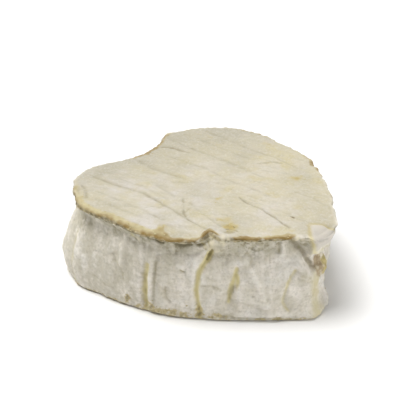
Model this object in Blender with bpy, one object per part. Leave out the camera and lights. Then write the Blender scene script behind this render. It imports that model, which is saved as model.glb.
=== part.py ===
"""A small heart of soft cheese with a bloomy white rind, in one piece, as it is sold.

The heart lies flat on its base with its point towards -Y and its notch towards +Y. The rind rolls
over a soft lip round the top, tucks in under it, swells into a low belly and is pinched into
folds round the side. The rods of the drying rack have left shallow grooves along the top.

Sizes across the heart are measured from an upright axis through its middle, and a bearing is an
angle in degrees about that axis: 0 at the heart's point, 90 at +X, 180 at the notch and -90 at
-X. The finished heart is then shifted so that the origin is at its base, under the middle of its
bounding box.
"""

import math

import bmesh
import bpy
import numpy as np
from mathutils import Vector, noise

MM = 0.001

# Driving dimensions, in metres.
RIM_HEIGHT = 35.2 * MM
DOME_RISE = 0.8 * MM
DOME_REACH = 10.0 * MM
SHOULDER_INSET = 7.0 * MM
BELLY_HEIGHT = 11.0 * MM

# Chance unevenness, as (height of the bumps, their size in millimetres, seed).
LIP_WAVE = (0.45 * MM, 8.0, 11)
LIP_RIPPLE = (0.2 * MM, 3.0, 12)
SIDE_SWELL = (0.5 * MM, 9.0, 21)
SIDE_RIPPLE = (0.25 * MM, 4.0, 22)
FLAP_RAGGED = (1.2 * MM, 2.2, 31)
TOP_SWELL = (0.7 * MM, 21.0, 41)
TOP_RIPPLE = (0.3 * MM, 7.0, 42)

# The heart's rim: bearing from the point, the same both ways, and distance from the middle.
HALF_OUTLINE = (
    (0, 56.2 * MM),
    (6, 55.5 * MM),
    (14, 51.4 * MM),
    (28, 46.6 * MM),
    (42, 44.3 * MM),
    (58, 44.6 * MM),
    (75, 46.7 * MM),
    (100, 50.0 * MM),
    (118, 54.9 * MM),
    (134, 56.0 * MM),
    (150, 53.2 * MM),
    (159, 47.9 * MM),
    (168, 43.0 * MM),
    (180, 40.6 * MM),
)

# Where the rim is pinched in (+) or pushed out (-): bearing, half width in degrees, inset.
LIP_PINCHES = (
    (-49.4, 2.7, 3.2 * MM),
    (-43.6, 1.8, -0.7 * MM),
    (-57.0, 4.0, -0.5 * MM),
    (-72.0, 2.6, 0.4 * MM),
    (-80.0, 5.0, -0.5 * MM),
    (-101.0, 3.0, 0.7 * MM),
    (-119.0, 5.0, -0.4 * MM),
    (-11.0, 3.4, 1.3 * MM),
    (21.0, 2.8, 0.7 * MM),
    (34.0, 6.0, -0.6 * MM),
    (66.0, 3.2, 0.8 * MM),
    (97.0, 3.5, 0.6 * MM),
    (143.0, 4.0, 0.6 * MM),
    (156.0, 5.0, -2.0 * MM),
)

# How the side changes round the heart, as (bearing, metres).
RIM_SAG = (
    (-150, 0.0 * MM),
    (-118, 0.2 * MM),
    (-95, 0.1 * MM),
    (-80, 0.7 * MM),
    (-67, 1.5 * MM),
    (-56, 0.8 * MM),
    (-50, -0.8 * MM),
    (-43, 0.2 * MM),
    (-18, 0.4 * MM),
    (0, 0.5 * MM),
    (40, 0.1 * MM),
    (80, 0.7 * MM),
    (125, 0.0 * MM),
    (175, 0.4 * MM),
)
WAIST_DEPTH = (
    (-150, 2.5 * MM),
    (-126, 3.6 * MM),
    (-110, 3.2 * MM),
    (-92, 2.3 * MM),
    (-66, 2.6 * MM),
    (-52, 1.4 * MM),
    (-44, 1.5 * MM),
    (-28, 2.4 * MM),
    (-13, 4.2 * MM),
    (-4, 5.6 * MM),
    (10, 5.0 * MM),
    (32, 2.4 * MM),
    (60, 1.9 * MM),
    (88, 2.7 * MM),
    (128, 1.8 * MM),
    (178, 1.1 * MM),
)
WAIST_DROP = (
    (-150, 7.0 * MM),
    (-110, 6.6 * MM),
    (-50, 6.2 * MM),
    (-26, 6.4 * MM),
    (-13, 8.0 * MM),
    (-4, 13.4 * MM),
    (6, 13.0 * MM),
    (24, 8.0 * MM),
    (120, 6.8 * MM),
    (170, 7.4 * MM),
)
BELLY = (
    (-165, 0.4 * MM),
    (-146, 3.0 * MM),
    (-128, 4.1 * MM),
    (-120, 3.3 * MM),
    (-106, 0.8 * MM),
    (-84, -0.5 * MM),
    (-62, 0.2 * MM),
    (-38, 0.6 * MM),
    (-18, 0.4 * MM),
    (-7, -1.4 * MM),
    (4, -3.9 * MM),
    (14, -3.2 * MM),
    (34, 0.3 * MM),
    (60, 1.2 * MM),
    (95, 0.2 * MM),
    (130, 2.4 * MM),
    (152, 1.4 * MM),
    (176, -0.2 * MM),
)
FOOT_INSET = (
    (-165, 0.8 * MM),
    (-134, -3.2 * MM),
    (-118, -2.2 * MM),
    (-104, 0.3 * MM),
    (-80, 1.6 * MM),
    (-60, 0.6 * MM),
    (-38, -0.4 * MM),
    (-18, -0.8 * MM),
    (-7, -1.5 * MM),
    (3, 1.3 * MM),
    (14, 2.4 * MM),
    (50, 0.0 * MM),
    (90, 1.2 * MM),
    (132, -0.4 * MM),
    (165, 1.0 * MM),
)

# Creases pinched into the side: depth, half width and the run of the crease as (bearing, height).
SIDE_CREASES = (
    (1.6 * MM, 1.4 * MM, ((-50.4, 26), (-53, 22), (-55.4, 16), (-55.1, 10), (-54.3, 2))),
    (1.1 * MM, 1.5 * MM, ((-36.4, 22), (-38, 19), (-39.6, 14), (-40.8, 7))),
    (1.1 * MM, 1.4 * MM, ((-78.5, 21), (-79.8, 17), (-80.4, 9), (-80.2, 1))),
    (0.8 * MM, 1.3 * MM, ((-74.2, 26), (-75.7, 17), (-77.0, 4))),
    (0.8 * MM, 1.5 * MM, ((-12.4, 20.5), (-15, 16), (-17.3, 8), (-14.9, 3.5))),
    (0.7 * MM, 1.6 * MM, ((-4.6, 17), (-4.4, 12), (-3.8, 1))),
    (1.7 * MM, 1.5 * MM, ((-15.4, 32), (-11.6, 30), (-9.8, 27), (-8, 23.5), (-5.6, 21))),
    (1.3 * MM, 1.7 * MM, ((-120.5, 22), (-119.6, 12), (-120.4, 1))),
    (0.7 * MM, 1.4 * MM, ((-98, 27), (-98.8, 18), (-98.2, 9))),
    (0.9 * MM, 1.5 * MM, ((-141, 25), (-139.5, 14), (-141.5, 5))),
    (1.2 * MM, 1.5 * MM, ((14.5, 26), (17, 17), (16, 8), (18, 1))),
    (1.3 * MM, 1.5 * MM, ((41, 30), (38.5, 21), (40.5, 12), (38, 2))),
    (0.9 * MM, 1.3 * MM, ((57, 24), (59, 15), (57.5, 6))),
    (1.3 * MM, 1.5 * MM, ((76, 30), (78.5, 22), (76.5, 12), (78, 1))),
    (1.0 * MM, 1.4 * MM, ((96, 24), (94.5, 14), (96.5, 4))),
    (1.2 * MM, 1.5 * MM, ((117, 28), (119, 18), (117.5, 8), (119, 1))),
    (1.0 * MM, 1.4 * MM, ((141, 27), (139, 17), (141, 6))),
    (1.4 * MM, 2.4 * MM, ((177, 33), (178, 20), (176, 2))),
)

# Soft ridges and lumps of rind beside the creases, in the same form.
SIDE_RIDGES = (
    (1.4 * MM, 2.5 * MM, ((-51.2, 31.0), (-48.8, 31.8), (-46.4, 31.0))),
    (0.4 * MM, 2.0 * MM, ((-91, 31), (-92.5, 24), (-95, 14))),
    (0.5 * MM, 1.6 * MM, ((-77.6, 26), (-78, 16), (-78.7, 3))),
    (0.4 * MM, 2.2 * MM, ((-51.0, 21), (-51.4, 12), (-51.0, 3))),
    (0.4 * MM, 1.8 * MM, ((-30.4, 17.4), (-27.2, 12.8), (-24.6, 7))),
    (1.4 * MM, 2.3 * MM, ((-17.5, 27), (-13.5, 25), (-10.6, 21), (-8.6, 17))),
    (0.7 * MM, 2.2 * MM, ((28, 26), (29.5, 16), (28, 6))),
    (0.8 * MM, 2.4 * MM, ((86, 26), (87, 15), (85.5, 5))),
    (0.7 * MM, 2.4 * MM, ((129, 26), (130, 15), (128, 5))),
    (0.7 * MM, 2.2 * MM, ((-152, 26), (-153, 15), (-151, 6))),
)

# The fold of top rind that hangs down over the heart's point.
FLAP_BEARING = -0.6
FLAP_HALF_WIDTH = 6.4 * MM
FLAP_BOTTOM = 25.0 * MM
FLAP_LEAN = 0.30

# Grooves left by the rack's rods, all along Y: x, start and end in y, and depth.
RACK_GROOVES = (
    (-31.0 * MM, -6 * MM, 38 * MM, 0.5 * MM),
    (-19.5 * MM, -30 * MM, 4 * MM, 0.4 * MM),
    (-1.5 * MM, -44 * MM, 36 * MM, 0.5 * MM),
    (17.2 * MM, -40 * MM, 46 * MM, 0.5 * MM),
    (33.5 * MM, -16 * MM, 36 * MM, 0.4 * MM),
)
GROOVE_HALF_WIDTH = 1.9 * MM
GROOVE_FADE = 5.0 * MM
GROOVE_SWAY = 1.2 * MM
GROOVE_SWAY_LENGTH = 11.0 * MM

# The mesh: points round the rim, closer together where the folds are finest, how the wall is
# divided between its profile's places, how much of the top's unevenness the first rings of the
# wall take, and where the rings over the top and the base lie between edge and middle.
RIM_POINTS = 160
FINE_BEARING = -35.0
FINE_HALF_WIDTH = 42.0
FINE_EXTRA = 0.9
WALL_STEPS = (2, 2, 1, 1, 2, 2, 5, 5, 3, 1, 1, 1)
LIP_RELIEF_SHARES = (1.0, 0.9, 0.7, 0.35)
TOP_RING_SHARES = (0.93, 0.86, 0.79, 0.72, 0.64, 0.56, 0.48, 0.40, 0.32, 0.24, 0.16, 0.08)
BASE_RING_SHARES = (0.82, 0.60, 0.38, 0.18)


def start_clean():
    """Takes everything out of the scene."""
    for obj in list(bpy.data.objects):
        bpy.data.objects.remove(obj)


def round_the_heart(table, bearings):
    """A value given at a few bearings, eased between them, the whole way round."""
    marks = [mark for mark, _ in table]
    values = [value for _, value in table]
    marks.append(marks[0] + 360)
    values.append(values[0])
    turned = np.where(bearings < marks[0], bearings + 360, bearings)
    i = np.searchsorted(marks, turned, side="right") - 1
    marks, values = np.array(marks, float), np.array(values)
    share = (turned - marks[i]) / (marks[i + 1] - marks[i])
    share = share * share * (3 - 2 * share)
    return values[i] * (1 - share) + values[i + 1] * share


def curve_through(knots, places):
    """A smooth curve (Catmull-Rom) through knots[0], knots[1], ... at places such as 1.5."""
    last = len(knots) - 1
    result = []
    for place in places:
        i = min(int(place), last - 1)
        t = place - i
        p1, p2 = knots[i], knots[i + 1]
        p0 = knots[i - 1] if i else 2 * p1 - p2
        p3 = knots[i + 2] if i + 2 <= last else 2 * p2 - p1
        result.append(
            0.5 * (2 * p1 + (p2 - p0) * t + (2 * p0 - 5 * p1 + 4 * p2 - p3) * t**2)
            + 0.5 * (3 * p1 - p0 - 3 * p2 + p3) * t**3
        )
    return result


def heart_radius(bearings):
    """The rim's distance from the middle of the heart, by bearing."""
    marks = np.array([b for b, _ in HALF_OUTLINE], float)
    radii = np.array([r for _, r in HALF_OUTLINE])
    slopes = np.gradient(radii, marks)
    slopes[0] = 0.0
    turned = np.abs(bearings)
    i = np.clip(np.searchsorted(marks, turned, side="right") - 1, 0, len(marks) - 2)
    gap = marks[i + 1] - marks[i]
    t = (turned - marks[i]) / gap
    return (
        radii[i] * (1 + 2 * t) * (1 - t) ** 2
        + slopes[i] * gap * t * (1 - t) ** 2
        + radii[i + 1] * t * t * (3 - 2 * t)
        + slopes[i + 1] * gap * t * t * (t - 1)
    )


def bumps(points, unevenness):
    """Smooth bumps and hollows at points given in millimetres."""
    rise, size, seed = unevenness
    shift = Vector((seed, 3.7 * seed, -1.3 * seed))
    return rise * np.array([noise.noise(Vector(point) / size + shift) for point in points])


def round_side(bearings, heights):
    """Points on a plain drum, where bumps round the side are read, so that their ends meet."""
    angles = np.radians(bearings)
    return np.column_stack([np.sin(angles) * 50, -np.cos(angles) * 50, heights / MM])


def outward(ring):
    """Unit normals of a closed ring of (x, y) points, eased where the ring turns sharply."""
    ahead = np.roll(ring, -1, axis=0) - np.roll(ring, 1, axis=0)
    normal = np.stack([ahead[:, 1], -ahead[:, 0]], axis=1)
    eased = np.zeros_like(normal)
    for shift in range(-4, 5):
        eased += np.roll(normal, shift, axis=0)
    return eased / np.linalg.norm(eased, axis=1, keepdims=True)


def rim_bearings():
    """The bearings of the ring points, closest together round FINE_BEARING."""
    steps = np.linspace(-180, 180, 1441)
    density = 1 + FINE_EXTRA * np.exp(-(((steps - FINE_BEARING) / FINE_HALF_WIDTH) ** 2))
    share = np.concatenate([[0], np.cumsum(density[1:] + density[:-1])])
    return np.interp(np.arange(RIM_POINTS) / RIM_POINTS, share / share[-1], steps)


def rim_ring(bearings):
    """The rim's (x, y) points and the outward direction at each."""
    radius = heart_radius(bearings)
    angle = np.radians(bearings)
    ring = np.stack([radius * np.sin(angle), -radius * np.cos(angle)], axis=1)
    return ring, outward(ring)


def lip_insets(bearings):
    """How far the lip is pinched in at each bearing, with a small unevenness all round."""
    edge = round_side(bearings, np.zeros(len(bearings)))
    inset = bumps(edge, LIP_WAVE) + bumps(edge, LIP_RIPPLE)
    for centre, half_width, depth in LIP_PINCHES:
        inset += depth * np.exp(-(((bearings - centre) / half_width) ** 2))
    return inset


def wall_knots(bearings):
    """The side's profile at its named places, from the top's shoulder to the edge of the base.

    Each place is an array over the bearings of (inset from the rim, height).
    """
    rim = RIM_HEIGHT - round_the_heart(RIM_SAG, bearings)
    waist = round_the_heart(WAIST_DEPTH, bearings)
    drop = round_the_heart(WAIST_DROP, bearings)
    belly = round_the_heart(BELLY, bearings)
    foot = round_the_heart(FOOT_INSET, bearings)
    pinch = lip_insets(bearings)
    level = np.zeros(len(bearings))
    top = level + dome_height(SHOULDER_INSET)
    profile = (
        (level + SHOULDER_INSET, 0.9 * top + 0.1 * rim),
        (4.0 * MM + 0.5 * pinch, 0.45 * top + 0.55 * rim + 0.1 * MM),
        (1.7 * MM + 0.8 * pinch, rim),
        (0.5 * MM + pinch, rim - 0.45 * MM),
        (0.1 * MM + pinch, rim - 1.25 * MM),
        (0.7 * waist + 0.4 * pinch, rim - 0.25 * drop - 1.1 * MM),
        (waist, rim - drop),
        (0.3 * waist - 0.5 * belly, 0.52 * (rim - drop) + 0.48 * BELLY_HEIGHT),
        (-belly, level + BELLY_HEIGHT),
        (0.4 * foot - 0.7 * belly, level + 5.4 * MM),
        (foot - 0.2 * MM, level + 2.2 * MM),
        (foot + 0.2 * MM, level + 0.7 * MM),
        (foot + 1.5 * MM, level),
    )
    return [np.stack(place, axis=1) for place in profile]


def dome_height(inset):
    """The top's height this far in from the rim, before its grooves and unevenness."""
    return RIM_HEIGHT + DOME_RISE * (1 - np.exp(-inset / DOME_REACH))


def groove_depth(x, y):
    """How deep the rack's grooves are at points of the top."""
    depth = np.zeros(len(x))
    for groove_x, start, end, full in RACK_GROOVES:
        middle = groove_x + GROOVE_SWAY * np.sin(y / GROOVE_SWAY_LENGTH + groove_x / MM)
        across = np.exp(-(((x - middle) / GROOVE_HALF_WIDTH) ** 2))
        ends = np.clip(np.minimum(y - start, end - y) / GROOVE_FADE, 0, 1)
        depth = np.maximum(depth, full * across * ends)
    return depth


def top_relief(ring):
    """The top's soft unevenness: broad swells, finer ones and the rack's grooves."""
    flat = ring[:, :2]
    points = np.column_stack([flat / MM, np.zeros(len(flat))])
    return bumps(points, TOP_SWELL) + bumps(points, TOP_RIPPLE) - groove_depth(*flat.T)


def distance_to_run(bearings, heights, radii, run):
    """Distance along the wall from each point to the nearest part of a crease's run."""
    x = np.radians(bearings) * radii
    best = np.full(len(bearings), 1.0)
    for (b0, z0), (b1, z1) in zip(run, run[1:]):
        x0, x1 = math.radians(b0) * radii, math.radians(b1) * radii
        along_x, along_z = x1 - x0, (z1 - z0) * MM
        length = along_x**2 + along_z**2
        share = np.clip(((x - x0) * along_x + (heights - z0 * MM) * along_z) / length, 0, 1)
        best = np.minimum(best, np.hypot(x - x0 - along_x * share, heights - z0 * MM - along_z * share))
    return best


def side_relief(bearings, heights, radii):
    """How far the rind stands out at each point of the side: its folds, creases and bumps."""
    stand = bumps(round_side(bearings, 0.6 * heights), SIDE_SWELL)
    stand += bumps(round_side(bearings, heights), SIDE_RIPPLE)
    for sign, runs in ((-1, SIDE_CREASES), (1, SIDE_RIDGES)):
        for size, half_width, run in runs:
            gap = distance_to_run(bearings, heights, radii, run) / half_width
            stand += sign * size * np.exp(-gap * gap)
    foot = np.clip((heights - 0.3 * MM) / (2.5 * MM), 0, 1)
    lip = np.clip((RIM_HEIGHT - 1.0 * MM - heights) / (2.5 * MM), 0, 1)
    return stand * foot * (0.2 + 0.8 * lip)


def over_flap(bearings, heights, radii):
    """From 0 to 1, how far each point of the side lies within the fold over the point."""
    across = np.abs(np.radians(bearings - FLAP_BEARING)) * radii
    sides = np.clip((FLAP_HALF_WIDTH - across) / (1.4 * MM) + 0.5, 0, 1)
    ragged = bumps(round_side(bearings, np.zeros(len(bearings))), FLAP_RAGGED)
    return sides * np.clip((heights - FLAP_BOTTOM - ragged) / (1.4 * MM) + 0.5, 0, 1)


def wall_rings(bearings):
    """Rings of points down the side, from the top's shoulder to the edge of the base."""
    rim, normal = rim_ring(bearings)
    radii = heart_radius(bearings)
    sag = round_the_heart(RIM_SAG, bearings)
    places = [0.0]
    for i, steps in enumerate(WALL_STEPS):
        places += [i + (k + 1) / steps for k in range(steps)]
    rings = []
    for knots in curve_through(wall_knots(bearings), places):
        inset, height = knots[:, 0], np.maximum(knots[:, 1], 0.0)
        inset = inset - side_relief(bearings, height, radii)
        below = RIM_HEIGHT - 1.5 * MM - sag - height
        flap_inset = np.minimum(inset, 0.4 * MM + FLAP_LEAN * np.maximum(below, 0.0))
        share = over_flap(bearings, height, radii) * (below > 0)
        inset = inset * (1 - share) + flap_inset * share
        rings.append(np.column_stack([rim - normal * inset[:, None], height]))
    rings[-1][:, 2] = 0.0
    for ring, share in zip(rings, LIP_RELIEF_SHARES):
        ring[:, 2] += share * top_relief(ring)
    return rings


def thinned(share):
    """How many points a ring takes at this share of the way out, so that faces stay even."""
    fewer = 1
    while fewer < 16 and share < 0.66 / fewer:
        fewer *= 2
    return RIM_POINTS // fewer


def inner_ring(edge, share):
    """A ring inside an edge ring, at this share of the way out from the middle."""
    return edge[:: len(edge) // thinned(share)] * np.array([share, share, 1.0])


def top_rings(shoulder):
    """Rings over the top, from its shoulder in towards the middle."""
    rings = []
    for share in TOP_RING_SHARES:
        ring = inner_ring(shoulder, share)
        reach = np.hypot(ring[:, 0], ring[:, 1]) / share
        ring[:, 2] = dome_height(SHOULDER_INSET + reach * (1 - share)) + top_relief(ring)
        rings.append(ring)
    return rings


def base_rings(edge):
    """Rings over the flat base, from its edge in towards the middle."""
    return [inner_ring(edge, share) for share in BASE_RING_SHARES]


def join_rings(mesh, ring, other):
    """Fills between two closed rings of vertices, one of which may have twice as many points."""
    fine, coarse = sorted((ring, other), key=len, reverse=True)
    ratio = len(fine) // len(coarse)
    for i, corner in enumerate(coarse):
        along = [fine[(i * ratio + k) % len(fine)] for k in range(ratio + 1)]
        mesh.faces.new((*along, coarse[(i + 1) % len(coarse)], corner))


def build_cheese():
    """The whole heart as one closed solid, its base centred under its bounding box."""
    wall = wall_rings(rim_bearings())
    rings = top_rings(wall[0])[::-1] + wall + base_rings(wall[-1])
    points = np.concatenate(rings)
    middle = (points.min(axis=0) + points.max(axis=0)) / 2 * np.array([1, 1, 0])
    mesh = bmesh.new()
    loops = [[mesh.verts.new(point) for point in ring - middle] for ring in rings]
    for upper, lower in zip(loops, loops[1:]):
        join_rings(mesh, upper, lower)
    mesh.faces.new(loops[0])
    mesh.faces.new(loops[-1])
    bmesh.ops.recalc_face_normals(mesh, faces=mesh.faces)
    data = bpy.data.meshes.new("cheese_heart")
    mesh.to_mesh(data)
    mesh.free()
    data.shade_smooth()
    return data


def rind_material():
    """The white bloom of the rind, a dry and matt off-white."""
    material = bpy.data.materials.new("bloomy_rind")
    material.use_nodes = True
    shader = material.node_tree.nodes["Principled BSDF"]
    shader.inputs["Base Color"].default_value = (0.70, 0.66, 0.54, 1)
    shader.inputs["Roughness"].default_value = 0.8
    shader.inputs["Metallic"].default_value = 0.0
    return material


def main():
    start_clean()
    cheese = bpy.data.objects.new("cheese_heart", build_cheese())
    cheese.data.materials.append(rind_material())
    bpy.context.scene.collection.objects.link(cheese)


main()
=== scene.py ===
import math

import bpy
import numpy as np
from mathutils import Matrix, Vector, noise


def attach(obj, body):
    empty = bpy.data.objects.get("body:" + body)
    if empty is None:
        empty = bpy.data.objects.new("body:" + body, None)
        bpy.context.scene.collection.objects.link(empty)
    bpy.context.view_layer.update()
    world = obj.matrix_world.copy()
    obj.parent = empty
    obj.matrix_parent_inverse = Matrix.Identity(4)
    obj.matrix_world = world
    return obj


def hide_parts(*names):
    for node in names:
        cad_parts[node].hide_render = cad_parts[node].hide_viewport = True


# A small heart of soft cheese under a bloomy white rind: the rind's finish, its crumbs, a pale
# floor and soft light. Lengths are metres. A bearing is an angle in degrees about the heart's
# upright axis: 0 at its point, 90 at +X, 180 at the notch and -90 at -X.

mm = 0.001
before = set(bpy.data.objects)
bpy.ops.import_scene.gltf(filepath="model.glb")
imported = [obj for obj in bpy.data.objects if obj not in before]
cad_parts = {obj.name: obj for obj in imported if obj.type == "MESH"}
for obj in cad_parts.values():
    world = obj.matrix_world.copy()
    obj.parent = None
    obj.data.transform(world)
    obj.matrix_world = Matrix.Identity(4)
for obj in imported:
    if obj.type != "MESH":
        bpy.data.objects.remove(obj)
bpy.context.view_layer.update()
print("frame loaded")


# The heart's form, as the solid has it, read at a much finer pitch.
heart = {
    "rimHeight": 35.2 * mm,
    "domeRise": 0.8 * mm,
    "domeReach": 10 * mm,
    "shoulderInset": 7 * mm,
    "bellyHeight": 11 * mm,
    # chance unevenness: height, size, seed
    "lipWave": (0.45 * mm, 8 * mm, 11),
    "lipRipple": (0.2 * mm, 3 * mm, 12),
    "sideSwell": (0.5 * mm, 9 * mm, 21),
    "sideRipple": (0.25 * mm, 4 * mm, 22),
    "flapRagged": (1.2 * mm, 2.2 * mm, 31),
    "topSwell": (0.7 * mm, 21 * mm, 41),
    "topRipple": (0.3 * mm, 7 * mm, 42),
    # bearing and distance from the middle, the same both ways
    "halfOutline": (
        (0, 56.2), (6, 55.5), (14, 51.4), (28, 46.6), (42, 44.3), (58, 44.6), (75, 46.7), (100, 50),
        (118, 54.9), (134, 56), (150, 53.2), (159, 47.9), (168, 43), (180, 40.6),
    ),
    # where the rim is pinched in or pushed out: bearing, half width in degrees, inset
    "lipPinches": (
        (-49.2, 3.3, 3.1), (-43.2, 1.8, -0.6), (-57, 4, -0.5), (-72, 2.6, 0.4), (-80, 5, -0.5),
        (-101, 3, 0.7), (-129.5, 8.5, 1.4), (-118.5, 5, -0.4), (-11, 3.4, 1.3), (21, 2.8, 0.7),
        (34, 6, -0.6), (66, 3.2, 0.8), (97, 3.5, 0.6), (143, 4, 0.6), (156, 5, -2),
    ),
    # how the side changes round the heart: bearing and millimetres
    "rimSag": (
        (-150, 0), (-118, 0.2), (-95, 0.1), (-80, 0.7), (-67, 1.5), (-56, 0.8), (-50, -0.8),
        (-43, 0.2), (-18, 0.4), (0, 0.5), (40, 0.1), (80, 0.7), (125, 0), (175, 0.4),
    ),
    "waistDepth": (
        (-150, 2.5), (-126, 3.6), (-110, 3.2), (-92, 2.3), (-66, 2.6), (-52, 1.4), (-44, 1.5),
        (-28, 2.4), (-13, 4.2), (-4, 5.6), (10, 5), (32, 2.4), (60, 1.9), (88, 2.7), (128, 1.8),
        (178, 1.1),
    ),
    "waistDrop": (
        (-150, 7), (-110, 6.6), (-50, 6.2), (-26, 6.4), (-13, 8), (-4, 13.4), (6, 13), (24, 8),
        (120, 6.8), (170, 7.4),
    ),
    "belly": (
        (-165, 0.4), (-146, 3), (-128, 4.1), (-120, 3.3), (-106, 0.8), (-84, -0.5), (-62, 0.2),
        (-38, 0.6), (-18, 0.4), (-7, -1.4), (4, -3.9), (14, -3.2), (34, 0.3), (60, 1.2), (95, 0.2),
        (130, 2.4), (152, 1.4), (176, -0.2),
    ),
    "footInset": (
        (-165, 0.8), (-134, -3.2), (-118, -2.2), (-104, 0.3), (-80, 1.6), (-60, 0.6), (-38, -0.4),
        (-18, -0.8), (-7, -1.5), (3, 1.3), (14, 2.4), (50, 0), (90, 1.2), (132, -0.4), (165, 1),
    ),
    # the fold of top rind over the point
    "flapBearing": -0.6,
    "flapHalfWidth": 6.4 * mm,
    "flapTop": 1.5 * mm,  # below the rim
    "flapInset": 0.4 * mm,
    "flapBottom": 25 * mm,
    "flapLean": 0.30,
    "flapSoftness": 1.4 * mm,
    # over the point the rim is slumped and round: middle, half width in degrees
    "slumpBearing": -0.5,
    "slumpHalfWidth": 8,
    "slumpEdge": (0.55, 1.1),
    "archRoundness": 2.8,
    # the rack's grooves, all along Y: x, start and end in y, depth, in millimetres
    "grooves": (
        (-31, -6, 38, 0.5), (-19.5, -30, 4, 0.4), (-1.5, -44, 36, 0.5), (17.2, -40, 46, 0.5),
        (33.5, -16, 36, 0.4),
    ),
    "grooveHalfWidth": 1.9 * mm,
    "grooveFade": 5 * mm,
    "grooveSway": 1.2 * mm,
    "grooveSwayLength": 11 * mm,
    # where the solid's own middle, its origin, lies
    "middle": (-0.49 * mm, -3.48 * mm, 0),
    # the drum round which bumps are read, and the points each way that the way out is eased over
    "drumRadius": 50 * mm,
    "easedPoints": 16,
    # how soon folds and bumps fade towards the foot and the lip
    "footClear": 0.3 * mm,
    "lipClear": 1.0 * mm,
    "standFade": 2.5 * mm,
    # the mesh's pitch
    "rimPoints": 640,
    "bearingSteps": 1441,
    "fineBearing": -35,
    "fineHalfWidth": 42,
    "fineExtra": 0.9,
    "wallSteps": (6, 6, 4, 4, 7, 9, 20, 20, 12, 6, 3, 3),
    "crestPlace": 2.0,  # which place of the wall is the lip's crest
    "reliefFade": (1.0, 3.4),  # between which places the top's relief dies away
    "topRings": 80,
    "baseRings": 8,
    "thinnedFrom": 0.66,  # inside this share of the way out a ring has half as many points
    "mostThinned": 32,
}

# Folds and creases down the side: soft depth, soft half width, depth of the sharp crease in it,
# how olive it has turned and how far either way, and its run as bearing and height.
sideCreases = (
    (1, 1.6, 0.1, 1.1, 1.15, ((-48.5, 31), (-48.9, 28.4), (-50.8, 25.4), (-53.2, 22.6), (-54.7, 19.6),
                              (-55.1, 16), (-55.7, 13), (-55.1, 10), (-54.4, 6.8), (-54.2, 1))),
    (1, 1.6, 0.3, 0.85, 0.8, ((-36.8, 21.8), (-37.8, 18.8), (-38.8, 16), (-40.1, 13), (-40.6, 8.4))),
    (1, 1.7, 0.1, 0.85, 1.2, ((-78.9, 21), (-79.8, 17), (-80.3, 9), (-80.4, 1))),
    (0.6, 1.2, 0.15, 0.1, 0.8, ((-74.6, 24.6), (-75.4, 17), (-76.2, 5))),
    (0.7, 1.6, 0.3, 0.65, 0.6, ((-12.7, 19.8), (-14.2, 17.6), (-15.4, 15.4), (-16, 13), (-17.1, 9.6),
                                (-17.3, 7.8), (-16.2, 5.8), (-15.1, 4.2))),
    (0.9, 2.4, 0, 0, 1, ((-5.4, 17.8), (-4.4, 14.6), (-4.3, 8.4), (-3.8, 1))),
    (1.3, 1.3, 0.4, 0.2, 0.8, ((-14.8, 31.6), (-12.2, 29.2), (-10.2, 27.2), (-8.8, 25.2), (-7.4, 22.6),
                               (-5.2, 20.4), (-3.8, 19))),
    (0.6, 2, 0.1, 0.4, 1, ((-120.5, 22), (-119.6, 12), (-120.2, 1))),
    (0.5, 2.4, 0, 0, 1, ((-95, 20), (-94, 14), (-92, 9))),
    (0.9, 1.5, 0.4, 0.3, 0.8, ((-141, 25), (-139.5, 14), (-141.5, 5))),
    (1.2, 1.5, 0.4, 0.4, 0.8, ((14.5, 26), (17, 17), (16, 8), (18, 1))),
    (1.3, 1.5, 0.4, 0.3, 0.8, ((41, 30), (38.5, 21), (40.5, 12), (38, 2))),
    (0.9, 1.5, 0.1, 0, 0.7, ((57, 24), (59, 15), (57.5, 6))),
    (1.3, 1.7, 0.2, 0, 0.7, ((76, 30), (78.5, 22), (76.5, 12), (78, 1))),
    (1, 1.8, 0.1, 0, 0.7, ((96, 24), (94.5, 14), (96.5, 4))),
    (1.2, 1.5, 0.4, 0.2, 0.9, ((117, 28), (119, 18), (117.5, 8), (119, 1))),
    (1, 1.4, 0.3, 0.2, 0.7, ((141, 27), (139, 17), (141, 6))),
    (1.4, 2.4, 0.2, 0.4, 1.2, ((177, 33), (178, 20), (176, 2))),
)

# Soft ridges and lumps beside them: rise, half width and run.
sideRidges = (
    (1.4, 2.5, ((-51.2, 31), (-48.8, 31.8), (-46.4, 31))),
    (0.8, 1.6, ((-90.5, 30), (-91.6, 24), (-92.6, 17))),
    (0.5, 1.6, ((-77.6, 26), (-78, 16), (-78.7, 3))),
    (0.4, 2.2, ((-51, 21), (-51.4, 12), (-51, 3))),
    (0.8, 1.7, ((-31.4, 20.4), (-28.2, 14.8), (-24.6, 7))),
    (1.4, 2.3, ((-17.5, 27), (-13.5, 25), (-10.6, 21), (-8.6, 17))),
    (0.7, 2.2, ((28, 26), (29.5, 16), (28, 6))),
    (0.8, 2.4, ((86, 26), (87, 15), (85.5, 5))),
    (0.7, 2.4, ((129, 26), (130, 15), (128, 5))),
    (0.7, 2.2, ((-152, 26), (-153, 15), (-151, 6))),
)


def easedRound(table, bearings):
    # a value given at a few bearings in millimetres, eased between them the whole way round
    stops = np.array([row[0] for row in table] + [table[0][0] + 360], float)
    values = np.array([row[1] for row in table] + [table[0][1]], float) * mm
    turned = np.where(bearings < stops[0], bearings + 360, bearings)
    i = np.searchsorted(stops, turned, side="right") - 1
    t = (turned - stops[i]) / (stops[i + 1] - stops[i])
    t = t * t * (3 - 2 * t)
    return values[i] * (1 - t) + values[i + 1] * t


def smooth(value, low, high):
    t = np.clip((value - low) / (high - low), 0, 1)
    return t * t * (3 - 2 * t)


def bell(distance, halfWidth):
    return np.exp(-((distance / halfWidth) ** 2))


def bumps(points, unevenness):
    # smooth bumps and hollows at points in metres
    rise, size, seed = unevenness
    shift = Vector((seed, 3.7 * seed, -1.3 * seed))
    scaled = points / size
    return rise * np.array([noise.noise(Vector(point) + shift) for point in scaled])


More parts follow.
